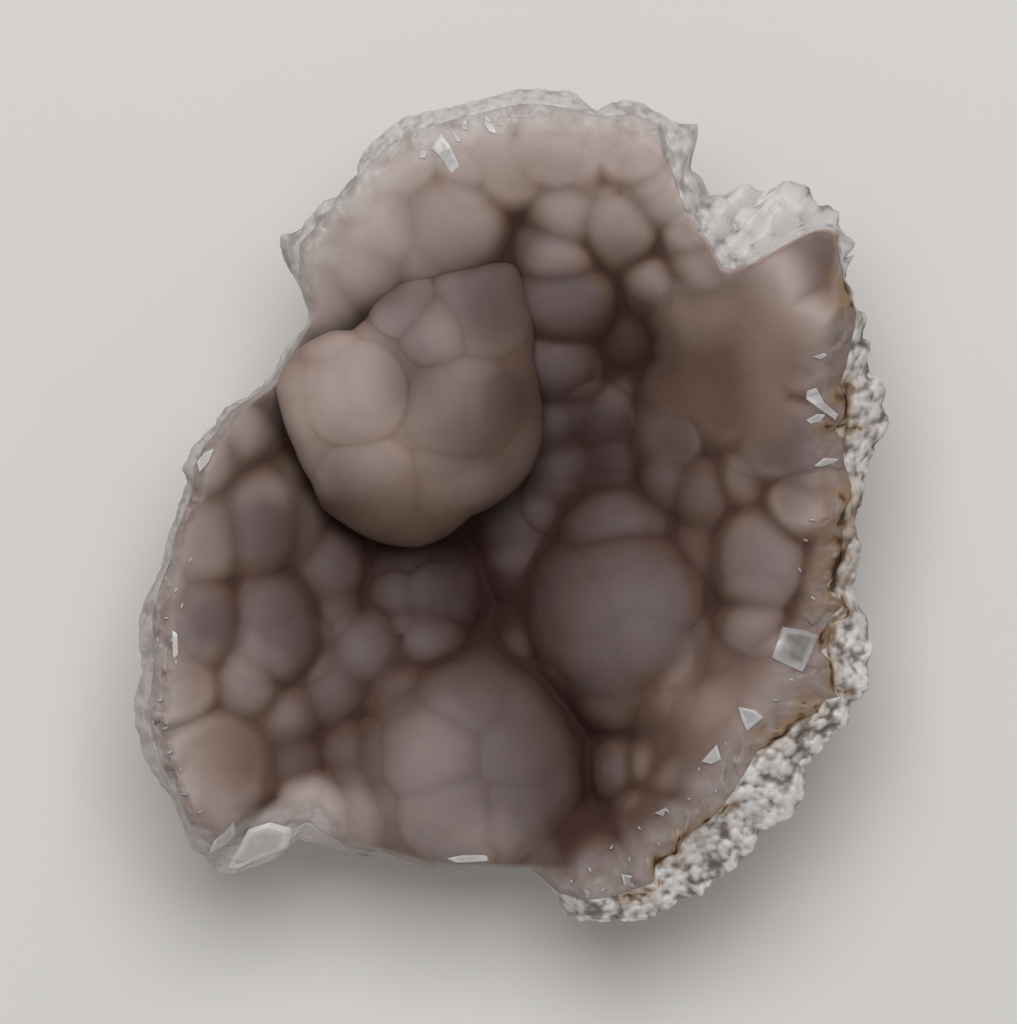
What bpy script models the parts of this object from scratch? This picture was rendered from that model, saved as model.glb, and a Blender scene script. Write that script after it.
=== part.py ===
"""A broken half of a chalcedony geode, lying on its back with its hollow facing up.

It is one stone: a thick wall of grey-brown chalcedony, grown into the hollow as rounded lumps,
inside a rind of white quartz. The rim is a fresh break, and one heavy lobe overhangs the hollow.

The lumps are balls that touch one smooth sheet from below, so a lump needs only its place and its
radius. The stone is two sheets of one square grid laid on a disc: the upper one covers the hollow
and the broken rim out to the outline, and the lower one is the rind, from the foot up to the same
outline. The lobe is a closed pillow of the same kind, joined on with a Boolean.
"""

import bpy
import numpy as np

MM = 0.001  # every length below is in millimetres, and the meshes are in metres

# Driving sizes
WHOLE_HEIGHT = 50.0  # height of the whole geode's widest level above its lowest point
WHOLE_POWER = 2.2  # superellipse power of the outside, 2 being an ellipse
FOOT_SINK = 2.6  # how much of the round underside is worn flat, which gives the foot
JAG_DEPTH = 13.0  # depth below the rim over which the outline's jags die out
CREASE = 0.35  # how far the crease between two lumps is rounded
STEEPEST = 62.0  # the steepest flank of a lump, in degrees from level
GROUND_DROP = 3.5  # the surface between the lumps is at most this far below the sheet
SHEET_EASE = 20.0  # how far the sheet may miss its points, to stay smooth
LOBE_LIP = 3.0  # thickness of the lobe's rounded lip
LOBE_LIP_POWER = 6  # the higher, the later the lobe's top turns down over its lip
LOBE_DEPTH = 13.0  # thickness of the lobe's belly below its lip
LOBE_MIDDLE = (-13.0, 14.5)
NODULE_SIZE = 7.5  # spacing of the rind's nodules
NODULE_RISE = 1.3  # their height
NODULE_LEVEL = 0.6  # the share of a nodule's height that stays level with the rind's base
NODULE_FADE = 0.06  # share of the rind, below the outline, over which its nodules die out
RIM_LEAST = 0.4  # least width of the grey and of the white band on the break
EVENING = 16  # degrees to either side over which the whole geode's width is evened
STONE_CELLS = 138  # cells across the square grid of the stone
HOLLOW_RINGS = 60  # rings of cells that the hollow takes of the 69; the rim has the other nine
LOBE_CELLS = 48  # cells across the lobe's grid
THINNING = 0.113  # share of the triangles kept, fewest where the surface is flattest

# The outline seen from above, counter-clockwise from the right: x, y
OUTLINE = [
    (46.6, 0.5), (47.2, 5.6), (49.1, 9.2), (50.3, 11.6), (49.6, 13.6), (50.1, 14.9), (49.1, 16.9),
    (47.3, 19.0), (48.1, 21.6), (46.8, 22.9), (47.3, 24.9), (44.9, 28.9), (43.8, 32.2), (46.0, 34.5),
    (44.8, 37.2), (43.5, 40.3), (41.1, 40.5), (40.1, 42.8), (37.1, 43.8), (33.6, 41.5), (31.3, 43.5),
    (28.4, 41.8), (25.6, 40.7), (24.8, 43.6), (23.9, 45.8), (25.1, 48.8), (24.7, 50.7), (21.3, 50.8),
    (17.3, 53.4), (13.4, 53.8), (11.3, 52.1), (7.6, 55.0), (1.1, 55.3), (-4.3, 53.8), (-9.6, 52.5),
    (-14.3, 51.6), (-17.3, 49.3), (-20.1, 46.4), (-20.6, 44.3), (-22.9, 41.1), (-24.9, 40.6),
    (-28.0, 36.9), (-30.7, 36.1), (-30.9, 34.7), (-29.2, 31.0), (-27.4, 27.9), (-26.4, 25.2),
    (-28.2, 23.4), (-30.9, 20.3), (-31.8, 17.9), (-34.9, 14.9), (-38.4, 13.3), (-39.6, 10.9),
    (-42.5, 8.0), (-43.9, 4.9), (-43.2, 3.1), (-45.3, -2.4), (-46.5, -7.7), (-49.3, -13.5),
    (-49.6, -16.4), (-49.0, -21.5), (-50.3, -25.7), (-50.0, -29.0), (-48.9, -33.3), (-44.9, -39.3),
    (-42.8, -45.2), (-40.9, -46.8), (-39.7, -48.9), (-37.5, -49.3), (-31.3, -46.8), (-28.7, -44.2),
    (-22.3, -46.1), (-19.2, -46.9), (-17.6, -46.1), (-10.9, -48.9), (-4.9, -48.1), (2.4, -48.7),
    (4.9, -48.1), (6.3, -53.4), (7.4, -55.0), (17.7, -55.3), (22.8, -52.4), (25.1, -51.7),
    (26.7, -49.9), (31.1, -46.8), (33.3, -42.9), (36.4, -41.7), (38.9, -38.4), (39.1, -34.4),
    (41.7, -31.1), (44.8, -28.7), (45.1, -26.1), (47.2, -24.4), (47.5, -15.1), (45.1, -11.6),
    (46.4, -5.1), (45.4, -2.0),
]

# The line on the break where grey chalcedony ends and the white rind begins: x, y
SEAM = [
    (43.7, 0.0), (44.2, 10.3), (45.1, 16.3), (44.8, 25.0), (43.0, 31.0), (42.9, 35.5), (38.4, 34.6),
    (34.2, 32.4), (29.7, 31.2), (26.0, 33.5), (24.3, 38.0), (22.6, 43.0), (23.0, 48.0), (12.0, 50.6),
    (0.0, 53.8), (-13.5, 49.8), (-21.5, 40.0), (-28.6, 34.0), (-25.6, 24.8), (-30.0, 18.0),
    (-37.0, 11.6), (-42.0, 3.0), (-45.0, -8.0), (-47.8, -17.0), (-48.4, -28.0), (-42.4, -40.4),
    (-38.0, -47.4), (-29.6, -45.0), (-22.0, -45.5), (-10.8, -48.3), (2.4, -48.2), (6.6, -52.0),
    (14.0, -53.6), (19.1, -48.6), (22.4, -45.7), (30.4, -37.7), (38.4, -27.7), (42.0, -16.0),
]

# The inner edge of the break, where the hollow begins: x, y
INNER_EDGE = [
    (39.7, 0.0), (38.9, 8.9), (39.9, 15.5), (41.5, 24.8), (42.5, 35.0), (38.1, 35.0), (31.7, 32.1),
    (27.7, 30.9), (24.8, 30.6), (23.9, 34.7), (22.8, 38.7), (22.5, 42.6), (21.1, 46.6), (16.9, 50.2),
    (11.6, 50.2), (6.3, 51.8), (-1.7, 52.1), (-8.3, 49.9), (-14.2, 47.5), (-17.8, 44.4), (-21.3, 40.0),
    (-25.2, 36.0), (-27.7, 32.5), (-25.8, 25.8), (-27.9, 21.9), (-30.5, 16.3), (-34.1, 13.9),
    (-37.4, 11.3), (-40.6, 6.0), (-41.1, 0.9), (-43.0, -3.0), (-44.3, -7.7), (-45.4, -12.3),
    (-45.6, -18.9), (-45.9, -25.6), (-45.1, -31.5), (-42.7, -37.7), (-40.3, -43.0), (-37.2, -45.4),
    (-32.1, -42.3), (-29.5, -43.8), (-25.5, -44.4), (-21.5, -45.4), (-16.9, -45.4), (-9.6, -47.5),
    (-1.7, -47.5), (3.6, -47.8), (6.6, -47.0), (8.3, -47.0), (13.6, -43.6), (20.2, -38.8),
    (24.8, -34.3), (30.1, -27.4), (33.4, -19.6), (36.5, -15.2), (38.7, -8.6),
]

# How far the break falls from its inner edge to the outline: angle in degrees, fall
RIM_FALL = [
    (0, 4.0), (36, 4.0), (44, 7.0), (56, 6.0), (62, 4.0), (80, 3.0), (126, 3.0), (136, 5.0), (150, 3.0),
    (190, 3.0), (215, 4.0), (232, 5.0), (245, 5.0), (262, 6.0), (274, 6.0), (280, 4.0), (335, 4.0),
]

# The smooth sheet that the crowns of the lumps touch: x, y, height
HEIGHTS = [
    # the floor of the hollow, and the ground under the lobe
    (-1.5, -13.0, 16), (1.0, -1.5, 18), (11.5, 2.5, 19.5), (11.0, 14.0, 22), (16.0, 21.0, 24.5),
    (6.5, 17.5, 27), (-11.0, 14.0, 22), (-21.5, 9.0, 25), (-16.0, -9.0, 21.5), (-8.5, -10.5, 19.5),
    (-24.0, -9.5, 25.5), (-20.0, -19.5, 26), (-11.5, -17.5, 23.5), (-15.0, -23.5, 26.5),
    (6.5, -25.5, 23), (14.0, -13.0, 30.5), (13.5, -24.0, 27), (18.0, 5.0, 24), (-3.0, -17.5, 17.5),
    (-7.5, -18.5, 20.5),
    # the column and the tiers behind the lobe
    (8.0, 27.5, 33), (7.0, 39.5, 41.5), (13.5, 37.5, 41.5), (1.0, 52.5, 49), (17.0, 50.0, 49),
    (-12.5, 48.5, 48), (-12.5, 37.5, 44), (-28.0, 35.5, 44), (-23.0, 27.5, 41), (-5.5, 27.5, 36),
    (23.5, 30.0, 38), (31.5, 32.0, 44), (23.5, 42.0, 47), (42.5, 35.5, 49),
    # the left wall
    (-31.5, 9.0, 31), (-36.0, 13.5, 40), (-42.5, 3.5, 43), (-32.0, -1.5, 33.5), (-39.5, -3.0, 39),
    (-31.0, -16.5, 32.5), (-40.0, -14.5, 38.5), (-48.5, -17.5, 45), (-28.0, -27.0, 30),
    (-38.0, -35.0, 39), (-47.5, -33.5, 45), (-40.0, -46.0, 42), (-22.0, -30.0, 28.5),
    (-28.0, -38.0, 34),
    # the low dome and the lip below it
    (-3.0, -27.5, 28.5), (-3.0, -36.0, 32.5), (-15.0, -41.5, 31.5), (-4.5, -47.5, 30), (7.5, -44.0, 29),
    # the right wall
    (25.0, -12.5, 29), (25.0, -0.5, 28.5), (23.5, -24.0, 34), (16.0, -34.0, 30.5), (13.0, -45.5, 35),
    (11.5, -52.0, 43), (35.0, -7.0, 38.5), (29.5, 21.0, 35), (38.0, 21.0, 43), (23.0, 21.0, 30.5),
    (23.5, 9.0, 28.5), (44.0, 14.0, 47), (44.0, -7.0, 46), (42.0, -19.0, 47), (34.0, -31.0, 46),
    (23.5, -43.0, 45),
]

# The lumps: x, y of the crown, radius, rise above the sheet
LUMPS = [
    # the deep middle
    (1.0, -1.5, 8.5, 0), (0.5, -7.5, 6.0, 0.3), (1.5, -15.0, 6.0, 0.6), (8.5, 6.0, 9.5, 0),
    (7.5, 11.5, 8.0, 0.2), (6.5, 2.0, 8.5, 0), (13.0, 9.0, 13.0, 0), (15.5, 19.5, 18.5, 0.5),
    (6.0, 18.0, 6.0, 0.8), (-11.0, -8.5, 13.0, 1), (-17.0, -11.0, 10.0, 0.2), (-4.5, -12.0, 7.5, -0.5),
    # between the lobe and the low dome
    (-24.5, -8.0, 10.0, 0.6), (-24.0, -14.0, 8.0, 0.2), (-22.5, -18.5, 7.5, 0.5),
    (-18.5, -21.5, 7.5, 0.7), (-10.5, -18.5, 8.0, 0.6), (-15.0, -23.5, 8.0, 0.7),
    (-9.5, -14.5, 8.0, 0.2), (-28.0, -26.0, 10.5, 0), (-22.0, -26.0, 7.5, 0.2),
    (-21.5, -31.0, 8.5, -0.3), (-30.0, -34.0, 10.0, 0),
    # the low dome
    (-1.5, -39.5, 18.0, 1), (-3.0, -25.5, 11.0, 1), (-15.0, -43.0, 17.0, 0.9), (8.5, -41.5, 17.0, 0.6),
    (-9.5, -35.0, 14.5, 0.6),
    # the round dome
    (15.0, -12.5, 13.0, 3.2), (13.0, -3.0, 10.5, 2.6), (13.0, -22.0, 10.5, 1.8),
    # the dome that the break cuts on the right
    (35.0, -5.0, 11.0, 1.8), (33.5, -12.5, 9.5, 1.2),
    # the smooth right wall
    (30.5, 21.5, 33.0, 0.6), (29.5, 11.0, 26.5, 0.2), (37.5, 30.0, 24.0, 0), (18.0, 10.0, 14.5, 0),
    (19.0, 4.0, 12.0, 0), (25.0, 2.0, 14.5, 0.2), (30.0, 4.0, 12.0, 0.1), (24.0, -5.0, 14.5, 0),
    (40.5, 9.0, 20.0, 0),
    # the wall below it
    (23.0, -24.0, 16.0, 0.6), (30.0, -17.5, 12.0, 0), (14.0, -34.0, 7.5, 0.4), (17.5, -34.0, 7.5, 0.4),
    (29.0, -31.0, 14.5, 0), (17.0, -40.5, 10.5, 0), (25.0, -37.5, 14.5, 0), (37.0, -23.0, 16.0, 0),
    (11.5, -45.5, 8.5, 0), (18.0, -48.0, 14.5, 0),
    # the column
    (8.0, 27.0, 8.5, 1.5), (7.5, 39.0, 8.5, 0.3), (14.0, 37.0, 8.0, 1), (18.0, 30.5, 7.0, -0.3),
    (23.0, 29.5, 10.0, 0.2), (27.5, 31.5, 14.5, 0), (23.0, 36.0, 8.0, 0), (19.5, 42.0, 8.0, 0),
    # the tiers
    (-18.5, 31.5, 10.0, 1.2), (-11.5, 37.5, 11.0, 1), (-4.5, 37.0, 10.5, 0.6), (-23.5, 28.0, 8.0, 0.2),
    (-1.5, 46.0, 14.5, 0), (5.5, 47.5, 13.0, 0), (-9.5, 46.5, 14.5, 0), (-18.0, 41.5, 13.0, 0.2),
    (14.5, 47.5, 12.0, 0), (-27.0, 35.5, 10.5, 0), (20.0, 47.5, 9.5, 0), (10.5, 51.5, 12.0, 0),
    (1.0, 52.0, 13.0, 0), (-15.5, 36.5, 8.0, 0.3),
    # the left wall
    (-32.0, -16.5, 11.5, 1.7), (-33.0, -22.5, 10.0, 0.9), (-40.5, -15.5, 11.0, 1.2),
    (-33.5, -2.0, 12.5, 0.7), (-39.5, -2.5, 12.5, 0.2), (-28.0, -2.0, 11.0, -0.2),
    (-35.0, 9.0, 10.0, 0), (-29.5, 4.0, 10.5, -1), (-38.0, -34.0, 17.0, 0.5), (-40.0, 7.0, 9.5, 0),
    (-34.5, -36.5, 10.5, 0.6), (-28.0, -38.5, 8.5, 0.8), (-42.5, -24.0, 12.0, 0),
    (-35.5, -25.5, 12.0, 0), (-35.0, -45.5, 12.0, 0), (-46.0, -11.0, 10.5, 0), (-46.5, -19.0, 12.0, 0),
    (-44.5, -34.0, 13.0, 0), (-23.5, -43.5, 16.0, 0), (-31.5, -42.0, 10.5, 0),
]

# Low caps grown on the bigger lumps: x, y, reach, rise
CAPS = [
    (-2.5, -24.0, 5.0, 0.4), (-6.5, -27.0, 4.5, 0.4), (2.5, -27.0, 5.5, 0.5), (-11.0, -31.5, 6.0, 0.6),
    (-0.5, -32.0, 6.0, 0.7), (6.5, -31.0, 5.0, 0.5), (-15.5, -39.0, 8.0, 0.4), (-7.5, -37.5, 5.5, 0.5),
    (-1.5, -39.5, 6.0, 0.6), (-20.0, -34.0, 5.0, 0.5), (-12.5, -44.0, 6.5, 0.4),
    (-4.0, -44.5, 4.5, 0.6), (3.5, -39.0, 5.0, 0.5), (7.5, -43.0, 6.0, 0.5), (10.5, -37.5, 4.5, 0.4),
    (13.0, -3.0, 6.0, 0.5), (14.0, -11.0, 7.0, 0.5), (22.0, -12.5, 5.5, 0.5), (8.5, -14.5, 5.0, 0.4),
    (13.5, -19.0, 6.0, 0.5), (19.5, -19.0, 5.0, 0.4), (11.5, -26.0, 5.5, 0.4), (35.0, -5.0, 8.0, 0.4),
    (32.5, -14.0, 6.0, 0.4), (30.5, -1.5, 4.0, 0.3), (38.0, -10.5, 4.5, 0.3), (27.0, 21.0, 8.0, 0.35),
    (27.5, 28.5, 6.5, 0.35), (36.0, 27.5, 7.5, 0.35), (25.0, 13.5, 6.0, 0.35), (33.5, 15.5, 7.5, 0.35),
    (31.5, 9.0, 5.5, 0.35), (-31.5, -12.5, 5.5, 0.4), (-28.0, -19.0, 5.0, 0.4),
    (-34.0, -19.0, 4.5, 0.3), (-37.5, -31.5, 6.5, 0.3), (-38.0, -39.0, 5.5, 0.3),
]

# The big white nodules where the break leaves the rind showing: x, y, reach, rise
NODULES = [
    (27.5, 37.5, 5.0, 2.6), (31.0, 40.0, 4.0, 2.4), (34.0, 37.5, 5.0, 2.6), (37.5, 40.0, 5.0, 2.6),
    (40.5, 37.5, 4.0, 2.2), (25.0, 39.0, 3.5, 1.8), (30.5, 34.5, 4.5, 2), (35.0, 34.5, 4.5, 2),
    (39.0, 35.5, 3.5, 1.6), (44.0, 34.0, 2.5, 1.4), (24.5, 42.5, 3.0, 1.6), (27.0, 32.5, 3.0, 1.2),
]

# The overhanging lobe seen from above, from its right end clockwise: x, y
LOBE_EDGE = [
    (4.6, 12.2), (4.3, 8.9), (3.0, 5.6), (1.0, 2.9), (-1.7, 0.9), (-5.6, -1.1), (-9.6, -4.4),
    (-12.9, -5.4), (-17.5, -4.6), (-22.2, -2.5), (-25.5, -0.1), (-26.8, 3.3), (-29.2, 8.2),
    (-30.8, 12.6), (-31.3, 15.9), (-29.2, 20.5), (-26.8, 22.8), (-24.4, 24.8), (-21.3, 28.5),
    (-17.8, 31.4), (-13.6, 33.8), (-5.6, 34.0), (0.5, 31.7), (2.3, 27.4), (2.7, 20.8), (3.6, 15.5),
]

# The lobe's own sheet, lumps and caps, in the same columns as the hollow's
LOBE_HEIGHTS = [
    (-11.5, 14.0, 41), (-21.5, 14.0, 39), (-29.5, 14.0, 35.5), (-28.0, 9.0, 33.5), (-21.0, 1.5, 34),
    (-13.0, -3.5, 31.5), (-4.5, 2.5, 33.5), (2.5, 9.0, 31.5), (1.0, 17.0, 33.5), (0.5, 27.5, 36),
    (-5.5, 29.5, 40), (-15.0, 28.5, 40.5), (-23.5, 23.0, 39), (-9.5, 23.5, 41),
]

LOBE_LUMPS = [
    (-7.5, 14.0, 20.0, 0.6), (-20.5, 14.5, 12.0, 0.7), (-23.5, 21.0, 8.5, 0.4), (-14.5, 27.0, 7.5, 0.9),
    (-10.5, 22.5, 7.5, 1.1), (-13.5, 17.0, 8.5, 0.3), (-3.0, 26.0, 13.0, 0.2), (-16.5, 3.0, 14.0, 0.8),
    (-5.0, 4.0, 13.0, 0.3), (-13.5, -2.5, 10.5, 0), (0.0, 7.5, 12.5, 0), (1.5, 16.0, 10.5, -0.3),
    (-29.0, 12.5, 14.5, -0.3),
]

LOBE_CAPS = [
    (-20.5, 15.0, 6.0, 0.3), (-14.5, 27.0, 3.5, 0.3), (-10.5, 22.5, 4.0, 0.35), (-17.0, 5.0, 6.5, 0.3),
    (-7.5, 11.5, 7.5, 0.35), (-4.0, 26.0, 6.0, 0.3), (-5.0, 3.5, 6.0, 0.3), (-9.5, 0.0, 4.5, 0.25),
    (-21.5, 3.0, 4.5, 0.25), (-13.5, -3.0, 4.0, 0.25), (-4.5, 18.5, 5.0, 0.25),
    (-23.5, 21.0, 3.0, 0.25),
]


def ring_of(points, middle=(0, 0)):
    """The closed line through these points as a radius for each angle about the middle."""
    x, y = (np.array(points) - middle).T
    angle = np.arctan2(y, x) % (2 * np.pi)
    order = np.argsort(angle)
    return angle[order], np.hypot(x, y)[order]


def around(angle, ring, soften=0.0):
    """The ring's value at each angle, averaged over that many degrees to either side."""
    turns = np.radians(soften) * np.linspace(-1, 1, 7 if soften else 1)
    values = [np.interp(angle + turn, *ring, period=2 * np.pi) for turn in turns]
    return np.mean(values, axis=0)


def at(angle, radius, height):
    """Points at this angle, distance from the upright axis, and height."""
    return np.stack([radius * np.cos(angle), radius * np.sin(angle), height], axis=-1)


def smooth_sheet(points):
    """A thin-plate spline: height = a + b x + c y + the sum of w d^2 log d over the points, where d is
    the distance to a point. The weights w come from the points' own heights, eased by SHEET_EASE."""
    rows = np.array(points, float)
    places, heights = rows[:, :2], rows[:, 2]

    def bend(x, y):
        squares = (x[..., None] - places[:, 0]) ** 2 + (y[..., None] - places[:, 1]) ** 2
        return 0.5 * squares * np.log(np.maximum(squares, 1e-9))

    count = len(rows)
    plane = np.column_stack([np.ones(count), places])
    system = np.zeros((count + 3, count + 3))
    system[:count, :count] = bend(*places.T) + SHEET_EASE * np.eye(count)
    system[:count, count:] = plane
    system[count:, :count] = plane.T
    weights = np.linalg.solve(system, np.append(heights, np.zeros(3)))
    constant, slope_x, slope_y = weights[count:]

    def height(x, y):
        return bend(x, y) @ weights[:count] + constant + slope_x * x + slope_y * y

    return height


def fall_of_ball(distance, radius):
    """How far a ball's surface lies below its top at this distance. Where it gets steeper than
    STEEPEST it goes on as a cone."""
    slope = np.tan(np.radians(STEEPEST))
    turn = radius * np.sin(np.radians(STEEPEST))
    ball = radius - np.sqrt(radius**2 - np.minimum(distance, turn) ** 2)
    return ball + np.maximum(distance - turn, 0) * slope


def lumpy(x, y, lumps, sheet, ground):
    """The height over balls that touch the sheet from below, each along the sheet's own normal. The
    highest ball counts, by a soft maximum: CREASE times the log of the sum of e^(height / CREASE)."""
    rows = np.array(lumps, float)
    step = 0.2
    crown_x, crown_y, radii, rises = rows.T
    slope_x = (sheet(crown_x + step, crown_y) - sheet(crown_x - step, crown_y)) / (2 * step)
    slope_y = (sheet(crown_x, crown_y + step) - sheet(crown_x, crown_y - step)) / (2 * step)
    normals = np.stack([-slope_x, -slope_y, np.ones_like(slope_x)], axis=-1)
    normals /= np.linalg.norm(normals, axis=-1, keepdims=True)
    crowns = np.stack([crown_x, crown_y, sheet(crown_x, crown_y)], axis=-1)
    centres = crowns + normals * (rises - radii)[:, None]
    layers = [ground]
    for centre, radius in zip(centres, radii):
        distance = np.hypot(x - centre[0], y - centre[1])
        layers.append(centre[2] + radius - fall_of_ball(distance, radius))
    layers = np.array(layers)
    top = layers.max(axis=0)
    return top + CREASE * np.log(np.exp((layers - top) / CREASE).sum(axis=0))


def cap_rise(x, y, caps):
    """The rise of the highest cap here, each a dome rise (1 - d^2 / reach^2), or nothing."""
    rows = np.array(caps, float)
    squares = (x[..., None] - rows[:, 0]) ** 2 + (y[..., None] - rows[:, 1]) ** 2
    return np.maximum((rows[:, 3] * (1 - squares / rows[:, 2] ** 2)).max(axis=-1), 0)


SHEET = smooth_sheet(HEIGHTS)
LOBE_SHEET = smooth_sheet(LOBE_HEIGHTS)
OUTLINE_RING = ring_of(OUTLINE)
SEAM_RING = ring_of(SEAM)
INNER_RING = ring_of(INNER_EDGE)
LOBE_RING = ring_of(LOBE_EDGE, LOBE_MIDDLE)
FALL_RING = (np.radians([row[0] for row in RIM_FALL]), np.array([row[1] for row in RIM_FALL]))


def hollow_height(x, y):
    return lumpy(x, y, LUMPS, SHEET, SHEET(x, y) - GROUND_DROP) + cap_rise(x, y, CAPS)


def hollow(share, angle):
    """The hollow's lumpy surface: share of the way from the axis to the inner edge, and angle."""
    radius = around(angle, INNER_RING, 1) * share
    return at(angle, radius, hollow_height(radius * np.cos(angle), radius * np.sin(angle)))


def rim(share, angle):
    """The break, from the hollow's edge at share 0 over the seam at 2/3 to the outline at 1."""
    edge = hollow(1.0, angle)
    inner = np.hypot(edge[..., 0], edge[..., 1])
    seam = np.maximum(around(angle, SEAM_RING), inner + RIM_LEAST)
    outer = np.maximum(around(angle, OUTLINE_RING), seam + RIM_LEAST)
    fall = around(angle, FALL_RING, 2)
    radius = np.where(
        share < 2 / 3,
        inner + (seam - inner) * share * 1.5,
        seam + (outer - seam) * (share * 3 - 2),
    )
    nodules = cap_rise(radius * np.cos(angle), radius * np.sin(angle), NODULES)
    return at(angle, radius, edge[..., 2] - fall * share**2 + nodules * np.minimum(share * 4, 1))


def turn_of(height):
    """The turn of the superellipse, 0 at its widest level and 1 at its foot, that has this height."""
    level = np.clip(1 - (height + FOOT_SINK) / WHOLE_HEIGHT, 0, 1)
    return np.arcsin(level ** (WHOLE_POWER / 2)) * 2 / np.pi


def width_at(turn):
    """The superellipse's share of its full width at this turn."""
    return np.cos(turn * np.pi / 2) ** (2 / WHOLE_POWER)


def level_at(turn):
    """The superellipse's height at this turn."""
    return WHOLE_HEIGHT * (1 - np.sin(turn * np.pi / 2) ** (2 / WHOLE_POWER)) - FOOT_SINK


def whole_width():
    """The whole geode's radius for each angle: the outline carried out to the widest level, and evened."""
    angle = np.linspace(0, 2 * np.pi, 180, endpoint=False)
    edge = rim(1.0, angle)
    radius = np.hypot(edge[:, 0], edge[:, 1]) / width_at(turn_of(edge[:, 2]))
    return angle, around(angle, (angle, radius), EVENING)


WIDTH_RING = whole_width()


def outside_base(share, angle):
    """The rind from the foot, share 0, to the outline, share 1: a superellipse in every upright
    section, with the outline's jags dying out below it."""
    edge = rim(1.0, angle)
    edge_radius = np.hypot(edge[..., 0], edge[..., 1])
    width = around(angle, WIDTH_RING)
    edge_turn = turn_of(edge[..., 2])
    turn = 1 - share * (1 - edge_turn)
    height = level_at(turn) + (edge[..., 2] - level_at(edge_turn)) * share
    below = (edge[..., 2] - height) / JAG_DEPTH
    jag = (edge_radius - width * width_at(edge_turn)) * np.exp(-(below**2))
    return at(angle, width * width_at(turn) + jag * share, height)


def normals_of(surface, share, angle):
    """The unit normal of surface(share, angle), by differences, on its upper side."""
    step = 0.01
    share = np.clip(share, 2 * step, 1 - step)
    along = surface(share + step, angle) - surface(share - step, angle)
    across = surface(share, angle + step) - surface(share, angle - step)
    normal = np.cross(along, across)
    return normal / np.maximum(np.linalg.norm(normal, axis=-1, keepdims=True), 1e-9)


def rounded_cells(points, size, seed):
    """Domes that meet in creases: 1 at a cell's middle, falling as the square of the distance from
    the nearest of the seeds, which stand one in each cube of this size."""
    jitter = np.random.default_rng(seed).random((16, 16, 16, 3))
    cube = np.floor(points / size).astype(int)
    nearest = np.full(points.shape[:-1], np.inf)
    for step in np.ndindex(3, 3, 3):
        cell = cube + np.array(step) - 1
        seeds = (cell + jitter[tuple(np.moveaxis(cell % 16, -1, 0))]) * size
        nearest = np.minimum(nearest, ((points - seeds) ** 2).sum(axis=-1))
    return 1 - nearest / size**2


def outside(share, angle):
    """The rind with its nodules, flat where it stands on the ground."""
    base = outside_base(share, angle)
    push = NODULE_RISE * (rounded_cells(base, NODULE_SIZE, seed=8) - NODULE_LEVEL)
    push *= 1 - np.exp(-(((1 - share) / NODULE_FADE) ** 2))
    point = base - normals_of(outside_base, share, angle) * push[..., None]
    point[..., 2] = np.maximum(point[..., 2], 0)
    return point


def upper(share, angle):
    """The upper sheet of the stone: the hollow, and the rim round it."""
    hollow_share = HOLLOW_RINGS / (STONE_CELLS / 2)
    on_rim = (share > hollow_share + 1e-6)[..., None]
    inward = np.minimum(share / hollow_share, 1)
    outward = np.maximum(share - hollow_share, 0) / (1 - hollow_share)
    return np.where(on_rim, rim(outward, angle), hollow(inward, angle))


def lobe_place(share, angle):
    radius = around(angle, LOBE_RING, 2) * share
    return LOBE_MIDDLE[0] + radius * np.cos(angle), LOBE_MIDDLE[1] + radius * np.sin(angle)


def lobe_height(x, y):
    ground = LOBE_SHEET(x, y) - GROUND_DROP
    return lumpy(x, y, LOBE_LUMPS, LOBE_SHEET, ground) + cap_rise(x, y, LOBE_CAPS)


def lobe_top(share, angle):
    """The lobe's lumpy top, turning down over its lip by LOBE_LIP (1 - sqrt(1 - share^power))."""
    x, y = lobe_place(share, angle)
    lip = LOBE_LIP * (1 - np.sqrt(np.maximum(1 - share**LOBE_LIP_POWER, 0)))
    return np.stack([x, y, lobe_height(x, y) - lip], axis=-1)


def lobe_belly(share, angle):
    """The underside: an ellipse's lower half hung from the lip."""
    x, y = lobe_place(share, angle)
    lip = lobe_height(*lobe_place(1.0, angle)) - LOBE_LIP
    middle = lobe_height(*np.array([[LOBE_MIDDLE[0]], [LOBE_MIDDLE[1]]]))[0] - LOBE_LIP
    belly = LOBE_DEPTH * np.sqrt(np.maximum(1 - share**2, 0))
    return np.stack([x, y, middle + (lip - middle) * share**2 - belly], axis=-1)


def disc_grid(cells):
    """A square grid laid on a disc: its shares of the radius, its angles, and its faces."""
    side = np.linspace(-1, 1, cells + 1)
    a, b = (grid.ravel() for grid in np.meshgrid(side, side, indexing="ij"))
    safe_a, safe_b = np.where(a == 0, 1, a), np.where(b == 0, 1, b)
    angle = np.where(
        np.abs(a) >= np.abs(b),
        np.pi / 4 * b / safe_a + np.where(a < 0, np.pi, 0),
        np.pi / 2 - np.pi / 4 * a / safe_b + np.where(b < 0, np.pi, 0),
    )
    index = np.arange((cells + 1) ** 2).reshape(cells + 1, cells + 1)
    faces = np.stack([index[:-1, :-1], index[1:, :-1], index[1:, 1:], index[:-1, 1:]], axis=-1)
    return np.maximum(np.abs(a), np.abs(b)), angle % (2 * np.pi), faces.reshape(-1, 4)


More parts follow.
